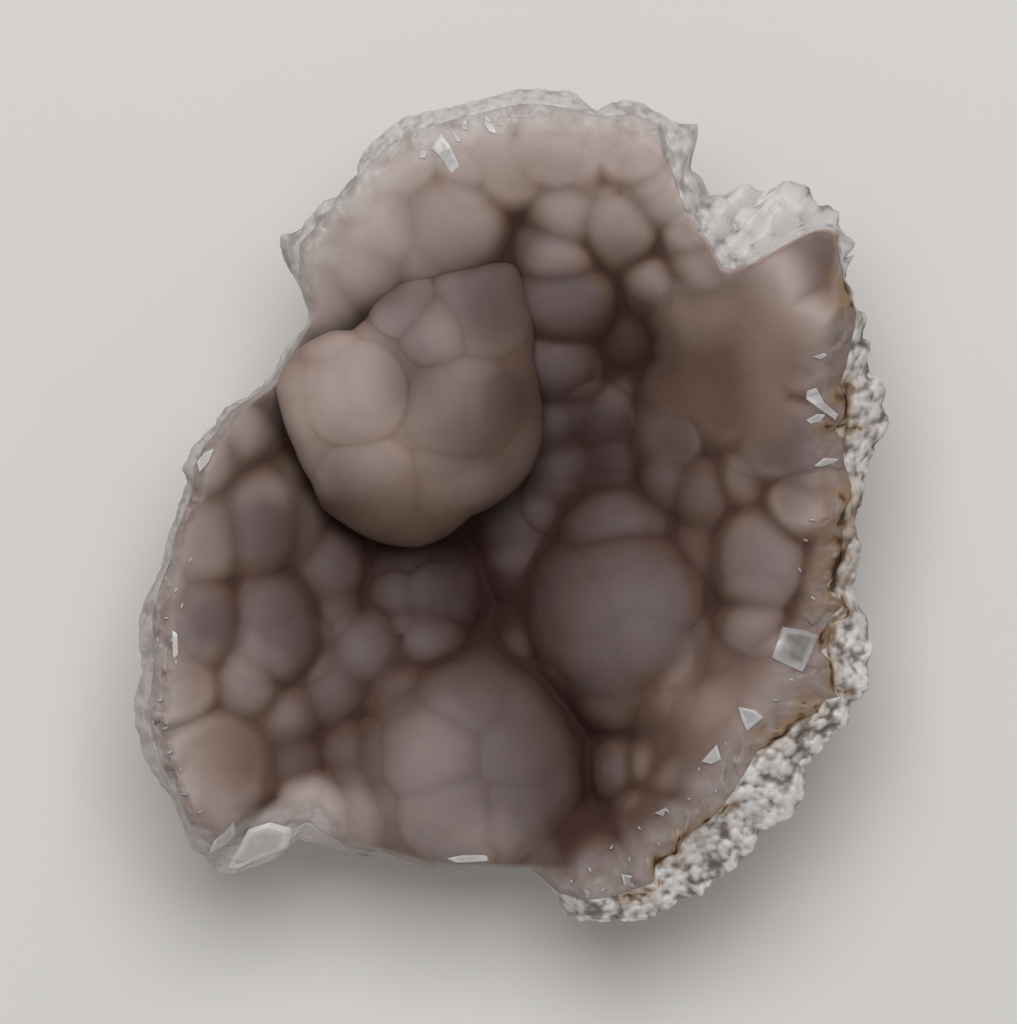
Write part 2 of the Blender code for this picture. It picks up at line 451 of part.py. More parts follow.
def pillow(name, cells, top, bottom, material):
    """A closed object from two sheets of the same disc grid, sewn together along their edge."""
    share, angle, faces = disc_grid(cells)
    inner = share < 1 - 1e-9
    points = np.concatenate([top(share, angle), bottom(share, angle)[inner]])
    renumber = np.arange(len(share))
    renumber[inner] = len(share) + np.arange(inner.sum())
    quads = np.concatenate([faces, renumber[faces][:, ::-1]])
    mesh = bpy.data.meshes.new(name)
    mesh.from_pydata((points * MM).tolist(), [], quads.tolist())
    mesh.shade_smooth()
    mesh.materials.append(material)
    made = bpy.data.objects.new(name, mesh)
    bpy.context.scene.collection.objects.link(made)
    return made


def chalcedony_material():
    material = bpy.data.materials.new("chalcedony")
    material.use_nodes = True
    shader = material.node_tree.nodes["Principled BSDF"]
    shader.inputs["Base Color"].default_value = (0.24, 0.17, 0.14, 1)
    shader.inputs["Roughness"].default_value = 0.4
    shader.inputs["Metallic"].default_value = 0.0
    return material


def join(target, other):
    """Makes one body of the two, and leaves the second out of the render."""
    union = target.modifiers.new("join " + other.name, "BOOLEAN")
    union.operation = "UNION"
    union.object = other
    other.hide_render = True
    other.display_type = "WIRE"


def thin(target):
    """Collapses the edges that the shape needs least."""
    collapse = target.modifiers.new("thin", "DECIMATE")
    collapse.ratio = THINNING


def main():
    for old in list(bpy.data.objects):
        bpy.data.objects.remove(old)
    material = chalcedony_material()
    stone = pillow("chalcedony_geode", STONE_CELLS, upper, outside, material)
    lobe = pillow("overhanging_lobe", LOBE_CELLS, lobe_top, lobe_belly, material)
    thin(stone)
    thin(lobe)
    join(stone, lobe)


main()
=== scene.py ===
"""The looks of a broken half of a chalcedony geode, lying on its back with its hollow facing up.

Every new piece is a closed surface worked out with numpy, in millimetres and in the frame of the
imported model. The lining is the grey-brown chalcedony with its lumpy hollow and the inner part of the
break. The lobe overhangs the hollow. The rind is the white quartz outside, with its band on the break.
Glassy splinters lie on the break.
"""

import bpy
import numpy as np
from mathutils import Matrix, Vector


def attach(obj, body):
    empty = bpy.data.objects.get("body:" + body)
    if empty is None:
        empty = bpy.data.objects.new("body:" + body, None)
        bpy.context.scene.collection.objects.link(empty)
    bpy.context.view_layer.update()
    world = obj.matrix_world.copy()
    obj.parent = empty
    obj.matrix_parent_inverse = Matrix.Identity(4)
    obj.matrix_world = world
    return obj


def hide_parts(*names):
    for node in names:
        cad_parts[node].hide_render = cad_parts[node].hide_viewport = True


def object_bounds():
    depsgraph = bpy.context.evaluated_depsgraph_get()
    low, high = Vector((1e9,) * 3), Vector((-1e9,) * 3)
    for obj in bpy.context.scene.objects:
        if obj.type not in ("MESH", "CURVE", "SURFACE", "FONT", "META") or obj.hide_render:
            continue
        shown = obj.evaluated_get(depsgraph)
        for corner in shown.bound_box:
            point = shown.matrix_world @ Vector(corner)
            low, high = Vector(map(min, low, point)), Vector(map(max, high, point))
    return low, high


bl_info = {
    "name": "Chalcedony geode half",
    "version": (1, 0, 0),
    "blender": (4, 5, 0),
    "location": "3D View > Sidebar > Geode",
    "description": "Builds the fine surfaces, materials and studio of a broken chalcedony geode",
    "category": "Object",
}

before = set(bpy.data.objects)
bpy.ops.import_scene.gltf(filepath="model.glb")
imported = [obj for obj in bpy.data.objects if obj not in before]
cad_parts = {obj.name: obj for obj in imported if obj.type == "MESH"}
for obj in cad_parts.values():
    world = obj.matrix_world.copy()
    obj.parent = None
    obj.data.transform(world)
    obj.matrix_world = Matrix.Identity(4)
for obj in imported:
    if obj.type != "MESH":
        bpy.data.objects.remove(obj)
CAD_BOX = [list(corner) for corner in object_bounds()]

MM = 0.001  # the shape functions work in millimetres, and the meshes are in metres

# The picture: its size in pixels, and how it lies over the stone
PICTURE_WIDTH = 1017
PICTURE_HEIGHT = 1024
PIXELS_PER_MM = 7.55
PICTURE_ORIGIN = (512.5, 507.0)  # the pixel over the frame's upright axis

# Driving sizes of the stone, in millimetres, as in the solid model
WHOLE_HEIGHT = 50.0  # height of the whole geode's widest level above its lowest point
WHOLE_POWER = 2.2  # superellipse power of the outside, 2 being an ellipse
FOOT_SINK = 2.6  # how much of the round underside is worn flat, which gives the foot
JAG_DEPTH = 13.0  # depth below the rim over which the outline's jags die out
CREASE = 0.6  # how far the crease between two lumps is rounded
STEEPEST = 62.0  # the steepest flank of a lump, in degrees from level
GROUND_DROP = 2.5  # the surface between the lumps is at most this far below the sheet
LOBE_GROUND_DROP = 0.4  # the same for the lobe
SHEET_EASE = 20.0  # how far the sheet may miss its points, to stay smooth
LOBE_LIP = 3.0  # thickness of the lobe's rounded lip
LOBE_LIP_POWER = 10  # the higher, the later the lobe's top turns down over its lip
LOBE_DEPTH = 13.0  # thickness of the lobe's belly below its lip
LOBE_MIDDLE = (-13.0, 14.5)
NODULE_SIZE = 7.5  # spacing of the rind's nodules
NODULE_RISE = 1.3  # their height
NODULE_LEVEL = 0.6  # the share of a nodule's height that stays level with the rind's base
NODULE_FADE = 0.06  # share of the rind, below the outline, over which its nodules die out
EDGE_FADE = 0.03  # share of the rind, below the outline, over which the edge's own knobs die out
RIM_LEAST = 0.4  # least width of the grey and of the white band on the break
EVENING = 16  # degrees to either side over which the whole geode's width is evened
DEEP_LEVEL = 17.0  # heights that the three tints of the lumps belong to: the lumps are painted darker the deeper they lie, as painted shade in the hollow
MIDDLE_LEVEL = 33.0
HIGH_LEVEL = 48.0
CREASE_TINT = 9.0  # painted shade: how many millimetres deeper a crease looks for each that it is sunk, and a small crown higher, as a painted highlight
CREASE_SHADE = 0.24  # painted shade: how dark the crease between two lumps is painted, 1 being the colour of deep flanks
GROUND_SHADE = 0.8  # the same for open ground between the lumps
SUNK_SHADE = 0.8  # the same for the sunken bottoms of creases
CAP_SHADE = 0.05  # the same between the fine caps
LOBE_CAP_SHADE = 0.08  # the same between the fine caps on the lobe
WIDE_REACH = 4.6  # how far round a place its bulge is measured, for the tint of whole lumps
LUMP_REACH = 1.8  # the same for small lumps and creases
CREASE_REACH = 0.7  # the same for the creases' bottoms
LOBE_WIDE_REACH = 3.2  # the first two of these on the lobe
LOBE_LUMP_REACH = 1.4
CAP_STEP = 0.6  # the highest step at a cap's edge, as a share of the cap's rise
LOBE_CAP_STEP = 0.2  # the same on the lobe
STEP_SPREAD = 0.618  # each cap's step is this share of the highest one on from the last cap's
RIM_GLOW = 0.65  # painted glow: how pale the hollow is painted at the outline, as light shining through the thin wall there, 1 being as pale as the break
PALE_FADE = (4.0, 10.0)  # distances from the outline between which that fades out
WALL_FOOT = 0.03  # share of the rind, from the foot, at which the hidden faces and the outside end
SEAM_SHARE = 2 / 3  # where the seam lies on the way from the hollow's edge to the outline

# Cells of the surfaces
LINING_CELLS = 262  # across the lining's square grid
HOLLOW_RINGS = 114  # rings of those cells, of 131, that the hollow takes; the break has the others
LOBE_CELLS = 190
RIND_TURNS = 880  # points round the rind
BAND_RINGS = 28  # rings of the rind on the break
OUTSIDE_RINGS = 72  # rings from the outline to the foot
WALL_RINGS = 6  # rings of the hidden faces between rind and lining
SPLINTER_CELLS = 20
EASED_SHARE = 0.06  # share of the lining, to either side of the hollow's edge, that is rounded

# The outline seen from above, counter-clockwise from the right: x, y
OUTLINE = [
    (46.6, 0.5), (47.2, 5.6), (49.1, 9.2), (50.3, 11.6), (50.0, 12.3), (49.2, 13.4), (49.7, 15.4),
    (48.8, 16.8), (47.5, 17.6), (47.7, 18.9), (46.8, 19.9), (47.6, 20.7), (47.6, 21.9),
    (46.7, 22.6), (47.0, 24.1), (46.6, 25.7), (45.4, 26.5), (45.1, 27.5), (44.6, 29.1),
    (43.8, 30.6), (45.4, 33.5), (43.5, 32.3), (45.5, 34.7), (44.4, 36.0), (43.4, 37.5),
    (43.2, 39.1), (42.1, 40.3), (40.7, 39.9), (39.9, 40.9), (39.8, 42.5), (38.6, 42.8),
    (36.9, 43.4), (35.8, 43.2), (35.0, 42.4), (33.0, 40.9), (33.6, 41.9), (32.6, 42.0),
    (31.3, 42.9), (29.9, 42.6), (28.8, 41.6), (27.0, 41.2), (25.4, 40.4), (24.6, 42.5),
    (23.5, 44.8), (24.7, 50.7), (21.3, 50.8), (17.3, 53.4), (13.4, 53.8), (11.3, 52.1), (7.6, 55.0),
    (1.1, 55.3), (-4.3, 53.8), (-9.6, 52.5), (-14.3, 51.6), (-17.3, 49.3), (-20.1, 46.4),
    (-20.6, 44.3), (-22.9, 41.1), (-24.9, 40.6), (-28.0, 36.9), (-30.7, 36.1), (-30.9, 34.7),
    (-29.2, 31.0), (-27.4, 27.9), (-26.4, 25.2), (-28.2, 23.4), (-30.9, 20.3), (-31.8, 17.9),
    (-34.9, 14.9), (-38.4, 13.3), (-39.6, 10.9), (-42.5, 8.0), (-43.9, 4.9), (-43.2, 3.1),
    (-45.3, -2.4), (-46.5, -7.7), (-49.3, -13.5), (-49.6, -16.4), (-49.0, -21.5), (-50.3, -25.7),
    (-50.0, -29.0), (-48.9, -33.3), (-44.9, -39.3), (-42.8, -45.2), (-40.9, -46.8), (-39.7, -48.9),
    (-37.5, -49.3), (-31.3, -46.8), (-28.7, -44.2), (-22.3, -46.1), (-19.2, -46.9), (-17.6, -46.1),
    (-10.9, -48.9), (-4.9, -48.1), (2.4, -48.7), (4.9, -48.1), (6.3, -53.4), (7.4, -55.0),
    (17.7, -55.3), (22.8, -52.4), (25.1, -51.7), (26.7, -49.9), (31.1, -46.8), (33.3, -42.9),
    (36.4, -41.7), (38.9, -38.4), (39.1, -34.4), (41.7, -31.1), (44.8, -28.7), (45.1, -26.1),
    (47.2, -24.4), (47.5, -15.1), (45.1, -11.6), (46.4, -5.1), (45.4, -2.0),
]

# The line on the break where grey chalcedony ends and the white rind begins: x, y
SEAM = [
    (44.7, 0.9), (45.0, 2.9), (44.0, 6.0), (43.8, 8.9), (42.7, 10.2), (44.2, 12.2), (44.4, 14.2),
    (43.4, 16.2), (45.5, 25.7), (44.7, 27.4), (44.0, 29.4), (42.8, 35.0), (43.1, 36.4),
    (38.4, 34.6), (34.2, 32.4), (29.7, 31.2), (23.6, 32.6), (21.8, 36.2), (20.8, 38.8),
    (20.6, 42.6), (19.3, 50.3), (15.9, 51.9), (11.9, 51.5), (8.3, 52.4), (4.6, 53.1), (0.9, 53.2),
    (-2.7, 52.4), (-6.3, 51.5), (-9.8, 50.6), (-13.3, 49.6), (-16.4, 47.6), (-19.2, 45.2),
    (-21.3, 41.8), (-23.8, 39.6), (-26.0, 37.1), (-28.2, 34.9), (-28.2, 30.3), (-26.6, 24.8),
    (-28.2, 22.8), (-29.8, 20.8), (-30.9, 18.6), (-32.4, 16.5), (-34.5, 14.7), (-37.4, 12.9),
    (-38.9, 10.4), (-41.0, 8.0), (-42.3, 5.2), (-42.4, 2.2), (-43.6, -0.8), (-44.7, -3.9),
    (-45.4, -7.2), (-46.8, -10.8), (-47.7, -14.6), (-47.6, -18.3), (-47.7, -22.2), (-48.1, -26.7),
    (-47.5, -30.9), (-46.2, -34.8), (-44.2, -38.4), (-42.6, -42.6), (-39.5, -45.4), (-33.6, -44.6),
    (-27.2, -41.9), (-24.3, -43.9), (-21.3, -45.6), (-17.6, -45.9), (-14.4, -47.1), (-11.1, -48.1),
    (-7.6, -48.1), (-4.2, -47.9), (-0.8, -48.2), (2.5, -48.3), (6.3, -51.6), (10.2, -52.4),
    (13.9, -51.9), (19.0, -50.1), (19.0, -47.8), (20.2, -46.8), (21.9, -46.1), (22.8, -44.4),
    (24.8, -42.5), (26.8, -41.1), (28.1, -39.5), (32.4, -32.5), (34.8, -31.1), (36.8, -29.5),
    (38.7, -28.2), (40.5, -27.2), (41.4, -25.6), (43.4, -25.2), (42.3, -24.2), (42.3, -20.3),
    (40.7, -19.2), (41.5, -17.6), (41.8, -15.0), (44.0, -13.0), (42.5, -11.9), (41.7, -10.3),
    (42.7, -9.0), (43.6, -7.0), (43.8, -3.7), (43.1, -2.4),
]

# The inner edge of the break, where the hollow begins: x, y
INNER_EDGE = [
    (39.7, 0.0), (37.3, 3.3), (37.5, 8.3), (38.3, 12.3), (39.0, 16.3), (39.7, 19.9), (40.3, 22.8),
    (41.3, 24.4), (42.3, 26.4), (41.5, 30.1), (42.5, 33.4), (42.8, 36.2), (40.7, 36.7),
    (38.1, 35.9), (34.4, 33.5), (30.8, 31.7), (27.7, 30.9), (26.8, 33.1), (25.2, 35.6),
    (23.5, 37.7), (22.1, 40.0), (21.4, 42.8), (20.3, 45.7), (16.9, 48.3), (11.6, 48.9), (6.3, 48.6),
    (-1.7, 48.9), (-8.3, 47.3), (-13.3, 44.9), (-17.5, 42.5), (-21.0, 39.1), (-23.9, 35.4),
    (-25.8, 31.4), (-25.5, 25.8), (-27.9, 21.9), (-30.5, 16.3), (-34.1, 13.9), (-36.6, 10.5),
    (-39.5, 5.4), (-40.3, 0.9), (-42.5, -3.0), (-43.5, -7.7), (-44.0, -12.3), (-43.8, -18.9),
    (-44.0, -25.6), (-44.0, -31.5), (-42.2, -37.7), (-40.6, -41.7), (-38.5, -42.0), (-35.6, -40.8),
    (-32.0, -38.5), (-29.7, -37.4), (-27.6, -36.6), (-25.2, -37.0), (-23.4, -38.8), (-21.5, -43.8),
    (-16.9, -45.4), (-9.6, -47.0), (-1.7, -47.3), (3.6, -47.5), (6.6, -47.0), (8.3, -47.0),
    (13.6, -43.6), (20.2, -38.8), (24.8, -34.3), (30.1, -27.4), (34.1, -19.6), (36.8, -14.7),
    (38.3, -8.6),
]

# How far the break falls from its inner edge to the outline: angle in degrees, fall
RIM_FALL = [
    (0, 4.0), (36, 4.0), (44, 7.0), (56, 6.0), (62, 4.0), (80, 3.0), (126, 3.0), (136, 5.0), (150, 3.0),
    (190, 3.0), (215, 4.0), (232, 5.0), (245, 5.0), (262, 6.0), (274, 6.0), (280, 4.0), (335, 4.0),
]

# The smooth sheet that the crowns of the lumps touch: x, y, height
HEIGHTS = [
    # the floor of the hollow, and the ground under the lobe
    (-1.5, -13.0, 16), (1.0, -1.5, 18), (11.5, 2.5, 19.5), (11.0, 14.0, 22), (16.0, 21.0, 24.5),
    (6.5, 17.5, 27), (-11.0, 14.0, 22), (-21.5, 9.0, 25), (-16.0, -9.0, 21.5), (-8.5, -10.5, 19.5),
    (-24.0, -9.5, 25.5), (-20.0, -19.5, 26), (-11.5, -17.5, 23.5), (-15.0, -23.5, 26.5),
    (6.5, -25.5, 23), (14.0, -13.0, 30.5), (13.5, -24.0, 27), (18.0, 5.0, 24), (-3.0, -17.5, 17.5),
    (-7.5, -18.5, 20.5),
    # the column and the tiers behind the lobe
    (8.0, 27.5, 33), (7.0, 39.5, 41.5), (13.5, 37.5, 41.5), (1.0, 52.5, 49), (17.0, 50.0, 49),
    (-12.5, 48.5, 48), (-12.5, 37.5, 44), (-28.0, 35.5, 44), (-23.0, 27.5, 41), (-5.5, 27.5, 36),
    (23.5, 30.0, 38), (31.5, 32.0, 44), (23.5, 42.0, 47), (42.5, 35.5, 49), (1.5, 37.5, 39.5),
    # the left wall
    (-31.5, 9.0, 31), (-36.0, 13.5, 40), (-42.5, 3.5, 43), (-32.0, -1.5, 33.5), (-39.5, -3.0, 39),
    (-31.0, -16.5, 32.5), (-40.0, -14.5, 38.5), (-48.5, -17.5, 45), (-28.0, -27.0, 30),
    (-38.0, -35.0, 37), (-47.5, -33.5, 45), (-40.0, -46.0, 42), (-22.0, -30.0, 28),
    (-29.5, -33.5, 30.5), (-28.0, -39.0, 35),
    # the low dome and the lip below it
    (-3.0, -27.0, 30.5), (-3.0, -35.5, 34.5), (-15.0, -41.5, 31.5), (-4.5, -47.5, 30),
    (7.5, -44.0, 30.5), (13.0, -31.5, 24.5), (14.5, -39.0, 26),
    # the right wall
    (25.0, -12.5, 29), (25.0, -0.5, 28.5), (23.5, -24.0, 34), (17.5, -34.0, 29), (13.5, -45.5, 34),
    (11.5, -52.0, 43), (35.0, -7.0, 38.5), (29.5, 21.0, 35), (38.0, 21.0, 43), (23.0, 21.0, 30.5),
    (23.5, 9.0, 28.5), (44.0, 14.0, 47), (44.0, -7.0, 46), (42.0, -19.0, 47), (34.0, -31.0, 46),
    (23.5, -43.0, 45),
]

# The lumps: x, y of the crown, radius, rise above the sheet
LUMPS = [
    # the deep middle
    (1.0, -1.5, 10.5, 0.2), (0.5, -7.5, 8.0, 0.3), (1.5, -16.5, 8.0, 0.8), (6.0, 11.0, 12.0, 0.5),
    (12.5, 12.0, 13.0, 0.4), (6.5, 5.0, 12.0, 0.4), (13.0, 6.0, 13.0, 0.3), (12.0, 1.0, 12.0, 0.1),
    (7.0, 18.5, 7.0, 0.9),
    # between the lobe and the low dome
    (-11.0, -10.5, 12.0, 1.1), (-24.0, -8.5, 10.0, 0.9), (-23.5, -14.0, 8.0, 0.4),
    (-19.5, -19.0, 8.5, 1), (-10.0, -17.0, 8.5, 0.9), (-15.0, -25.0, 8.0, 0.8),
    (-23.5, -24.0, 9.5, 0.3), (-30.0, -28.5, 10.0, 0.4), (-29.0, -33.5, 7.5, 0.5),
    (-22.0, -32.0, 9.5, 0.1),
    # the low dome
    (3.0, -36.0, 18.5, 1.4), (-20.0, -39.0, 10.5, 0.5),
    # the round dome
    (15.0, -13.0, 13.0, 3.2), (13.0, -3.0, 10.5, 2.6), (13.0, -23.0, 11.5, 1.8),
    # the dome that the break cuts on the right
    (31.0, -7.5, 13.0, 1.6), (30.5, -16.0, 10.5, 0.8),
    # the foot of the right wall
    (18.5, 10.0, 9.5, 0.6), (20.0, 4.0, 8.0, 0.5), (25.0, 1.5, 9.5, 0.6), (30.0, 4.0, 8.0, 0.4),
    # the wall below the domes
    (14.0, -35.0, 7.5, 0.8), (17.5, -34.0, 7.5, 0.6), (16.0, -39.5, 8.0, 0.3),
    (23.5, -17.5, 10.5, 0.4), (28.5, -19.0, 10.0, 0.3), (19.5, -25.5, 14.5, 0.4),
    (27.0, -26.5, 17.0, 0.4), (21.0, -35.5, 13.0, 0.3),
    # the column
    (8.0, 27.0, 8.5, 1.8), (6.0, 33.0, 8.0, 0.8), (7.0, 39.0, 10.5, 0.7), (14.0, 37.0, 8.0, 1.3),
    (18.5, 29.5, 7.0, 0.6), (25.0, 31.5, 8.0, 0.8), (23.5, 36.0, 8.0, 0.5), (28.5, 32.0, 8.0, 0.3),
    (19.5, 40.5, 8.5, 0.4),
    # the tiers
    (-18.0, 36.5, 13.0, 1.1), (-8.0, 37.0, 14.5, 1.1), (-19.5, 31.5, 10.0, 1.2),
    (-24.5, 28.5, 10.0, 0.4), (-24.0, 34.0, 10.5, 0.2), (-12.5, 32.5, 9.5, 0.6),
    # the left wall
    (-32.0, -16.5, 11.5, 1.8), (-35.0, -23.0, 10.5, 1), (-40.5, -15.5, 10.5, 1.2),
    (-33.0, -2.5, 13.0, 0.8), (-40.0, -5.0, 13.0, 0.5), (-27.5, -3.0, 10.0, 0),
    (-35.0, 9.0, 12.0, 0), (-29.5, 4.0, 12.0, -1), (-40.0, 6.0, 12.0, 0.2), (-46.0, -11.0, 12.0, 0),
    (-36.0, -43.0, 13.0, 0), (-25.5, -39.0, 8.0, 0.9),
    # smooth places between them
    (15.5, 21.5, 14.5, 0.3), (25.0, -7.0, 12.0, 0.2), (7.5, 17.5, 8.0, 0.4),
]

# Low caps grown on the bigger lumps: x, y, reach, rise
CAPS = [
    (13.0, -3.0, 6.0, 0.5), (11.5, -26.0, 5.5, 0.4), (35.0, -5.0, 8.0, 0.4),
    (32.5, -14.0, 6.0, 0.4), (38.0, -10.5, 4.5, 0.3), (29.5, 21.0, 10.5, 0.3),
    (37.0, 28.5, 8.0, 0.3), (25.0, 13.5, 6.5, 0.3), (34.0, 11.5, 8.0, 0.3), (26.5, 26.0, 5.5, 0.3),
    (-31.5, -12.5, 5.5, 0.4), (-28.5, -19.0, 5.0, 0.4), (-34.0, -19.0, 4.5, 0.3),
    (-37.5, -31.5, 6.5, 0.3), (-39.0, -39.0, 6.0, 0.3), (-42.5, -28.0, 5.5, 0.3),
    (5.5, 47.5, 5.5, 0.5), (11.5, 46.0, 5.0, 0.5), (-1.5, 45.5, 5.0, 0.4), (17.0, 44.5, 4.0, 0.4),
    (-5.5, 43.5, 4.0, 0.3),
    # the low dome's
    (-6.5, -24.5, 6.5, 0.85), (2.5, -26.0, 5.5, 0.78), (-2.0, -19.5, 5.0, 0.59),
    (-11.0, -33.0, 7.5, 0.98), (1.0, -32.5, 7.0, 0.98), (7.5, -36.0, 5.5, 0.72),
    (-20.0, -33.5, 5.5, 0.59), (-19.0, -39.5, 6.5, 0.59), (-9.0, -40.5, 7.0, 0.85),
    (1.0, -40.5, 6.5, 0.78), (8.0, -42.5, 5.5, 0.59), (-7.5, -46.0, 5.5, 0.52),
    (2.5, -46.0, 5.0, 0.45), (-14.5, -22.5, 5.0, 0.52), (-14.5, -27.5, 4.0, 0.52),
    # the round dome's
    (15.0, -10.5, 6.0, 0.45), (21.0, -12.0, 5.0, 0.45), (9.5, -13.5, 5.0, 0.4),
    (11.5, -21.0, 5.5, 0.45), (18.5, -19.0, 6.0, 0.45), (16.5, -26.0, 5.0, 0.35),
    (13.0, -5.0, 4.5, 0.4), (7.0, -7.0, 4.0, 0.3),
    # the deep middle's
    (6.0, 11.0, 4.5, 0.64), (11.5, 12.0, 5.0, 0.64), (6.5, 6.0, 5.0, 0.64), (12.0, 7.0, 5.0, 0.64),
    (6.0, 1.0, 5.0, 0.56), (11.5, 2.0, 5.0, 0.56),
    # the ground left of the low dome's
    (-9.5, -12.5, 5.5, 0.8), (-15.5, -13.0, 4.5, 0.8), (-19.5, -18.5, 5.0, 0.8),
    (-10.0, -17.5, 5.0, 0.8),
]

# Where the stone is smooth, with no ground showing between the lumps: x, y, reach
SMOOTH = [
    (30.0, 27.5, 13.0), (29.5, 15.5, 12.5), (37.5, 21.0, 10.5), (35.5, 9.0, 9.5), (24.0, 21.0, 8.0),
    (-39.0, -34.0, 11.0), (-44.0, -24.0, 7.5), (-45.5, -17.5, 6.5), (-15.0, 45.5, 8.0),
    (-5.5, 48.0, 9.5), (6.5, 47.5, 10.0), (15.5, 47.5, 8.0), (-22.0, 39.5, 7.5), (38.0, 1.0, 6.5),
    (25.0, -31.0, 11.0), (34.0, -23.0, 9.5), (19.0, -43.0, 7.5), (13.0, -49.5, 8.0),
    (8.5, 18.0, 6.0), (23.5, 25.5, 8.0), (22.5, 16.0, 8.0), (21.5, 9.0, 6.0), (0.0, 44.5, 7.5),
]

# Where the stone is painted paler or darker than its height gives, partly its own tone and partly
# painted light and shade, such as darker ground under the lobe: x, y, reach, and how many
# millimetres higher or lower the stone would have to be to have that tint
TINTS = [
    # the column and the tiers
    (8.0, 27.0, 7.5, -5), (-18.0, 34.0, 8.0, 2), (1.5, 36.5, 5.5, -5), (15.5, 21.5, 8.0, -11),
    (12.5, 9.0, 8.5, -8), (19.0, 28.5, 5.5, 3), (14.0, 37.0, 5.5, -3),
    # the domes
    (35.0, -7.0, 8.5, -4), (15.0, -12.5, 12.0, -6), (10.5, -24.0, 8.0, -3), (9.5, -35.0, 6.5, -5),
    (5.0, -28.0, 8.0, -2),
    # the middle
    (-11.5, -9.5, 8.5, -9), (-1.5, -12.5, 6.0, -12), (-23.5, -11.0, 6.5, -2),
    (-29.0, -15.5, 6.5, -5), (-40.0, -15.0, 6.0, -6), (-31.5, -2.5, 6.0, -4), (19.5, 9.0, 6.0, 4),
    (16.0, -35.5, 6.5, 5), (-30.0, -27.0, 6.0, 3), (-22.0, -32.0, 6.0, -4), (-29.0, -33.5, 5.0, -7),
    (-39.5, -33.5, 8.0, 2), (25.0, -24.0, 9.5, 2),
    # all over
    (-28.0, -39.0, 5.5, 8), (-10.5, -31.0, 9.5, 3), (14.0, -25.5, 6.0, 4), (-16.0, -39.0, 8.0, 2),
    (-8.0, 14.0, 12.0, -5), (-35.0, 10.0, 4.0, 3), (-3.0, -34.0, 12.5, -5), (-23.0, -41.0, 8.0, 4),
    (27.5, -20.5, 9.5, -3), (23.5, 25.0, 7.5, 6), (22.5, 14.0, 6.5, 4), (-33.0, -12.5, 8.5, -5),
    (-1.5, -7.0, 8.0, 4), (-14.5, 27.0, 8.5, -7), (-4.0, 28.0, 10.5, -8), (-14.0, 18.5, 8.0, -6),
    (-29.0, 11.5, 10.5, 5), (41.5, 18.0, 10.5, -6), (41.0, 7.5, 9.5, -6), (1.0, 14.0, 6.5, -4),
    (-12.5, -6.5, 5.5, 5), (-40.5, -1.5, 8.0, -4), (-40.0, -15.0, 8.0, -4), (-3.0, -46.0, 8.0, 4),
    (-1.0, -12.5, 5.5, -3), (15.5, 20.0, 8.0, 3), (23.5, -25.5, 8.0, 3), (39.5, 5.5, 8.0, -4),
    (-28.5, 2.5, 6.0, 6), (-32.0, -3.0, 6.5, -4), (0.5, 16.0, 6.0, -3), (-11.0, 38.0, 8.0, -3),
    (-12.5, -6.5, 4.0, 4),
]

# Where the ground between the lumps lies deeper: x, y, reach, how much
GULLIES = [
    (7.5, -26.5, 8.0, 4.5), (10.5, -35.5, 6.5, 5), (4.5, -22.5, 5.5, 4.5), (-2.0, -12.0, 7.5, 4.5),
    (-21.5, -26.5, 7.5, 4), (-25.5, -31.0, 5.5, 3.5), (25.5, -11.0, 6.0, 4), (-4.5, -6.5, 5.5, 4),
    (-17.0, -22.0, 5.5, 3),
]

# How much warmer, or cooler, the stone is in places than its shape tells: x, y, reach, share
WARMTH = [
    (30.0, 18.0, 16.0, 0.6), (25.0, 1.0, 10.5, 0.3), (25.0, -27.0, 12.0, 0.3),
    (-12.5, 9.0, 20.0, 0.3), (15.0, 21.0, 8.0, 0.4), (17.0, -25.5, 8.0, 0.4),
    (17.0, 10.0, 8.0, 0.3), (-16.0, 37.5, 12.0, 0.2), (-38.0, -34.0, 9.5, 0.2),
    (-12.5, -1.0, 10.5, 0.4), (4.5, -17.5, 5.5, 0.4),
]

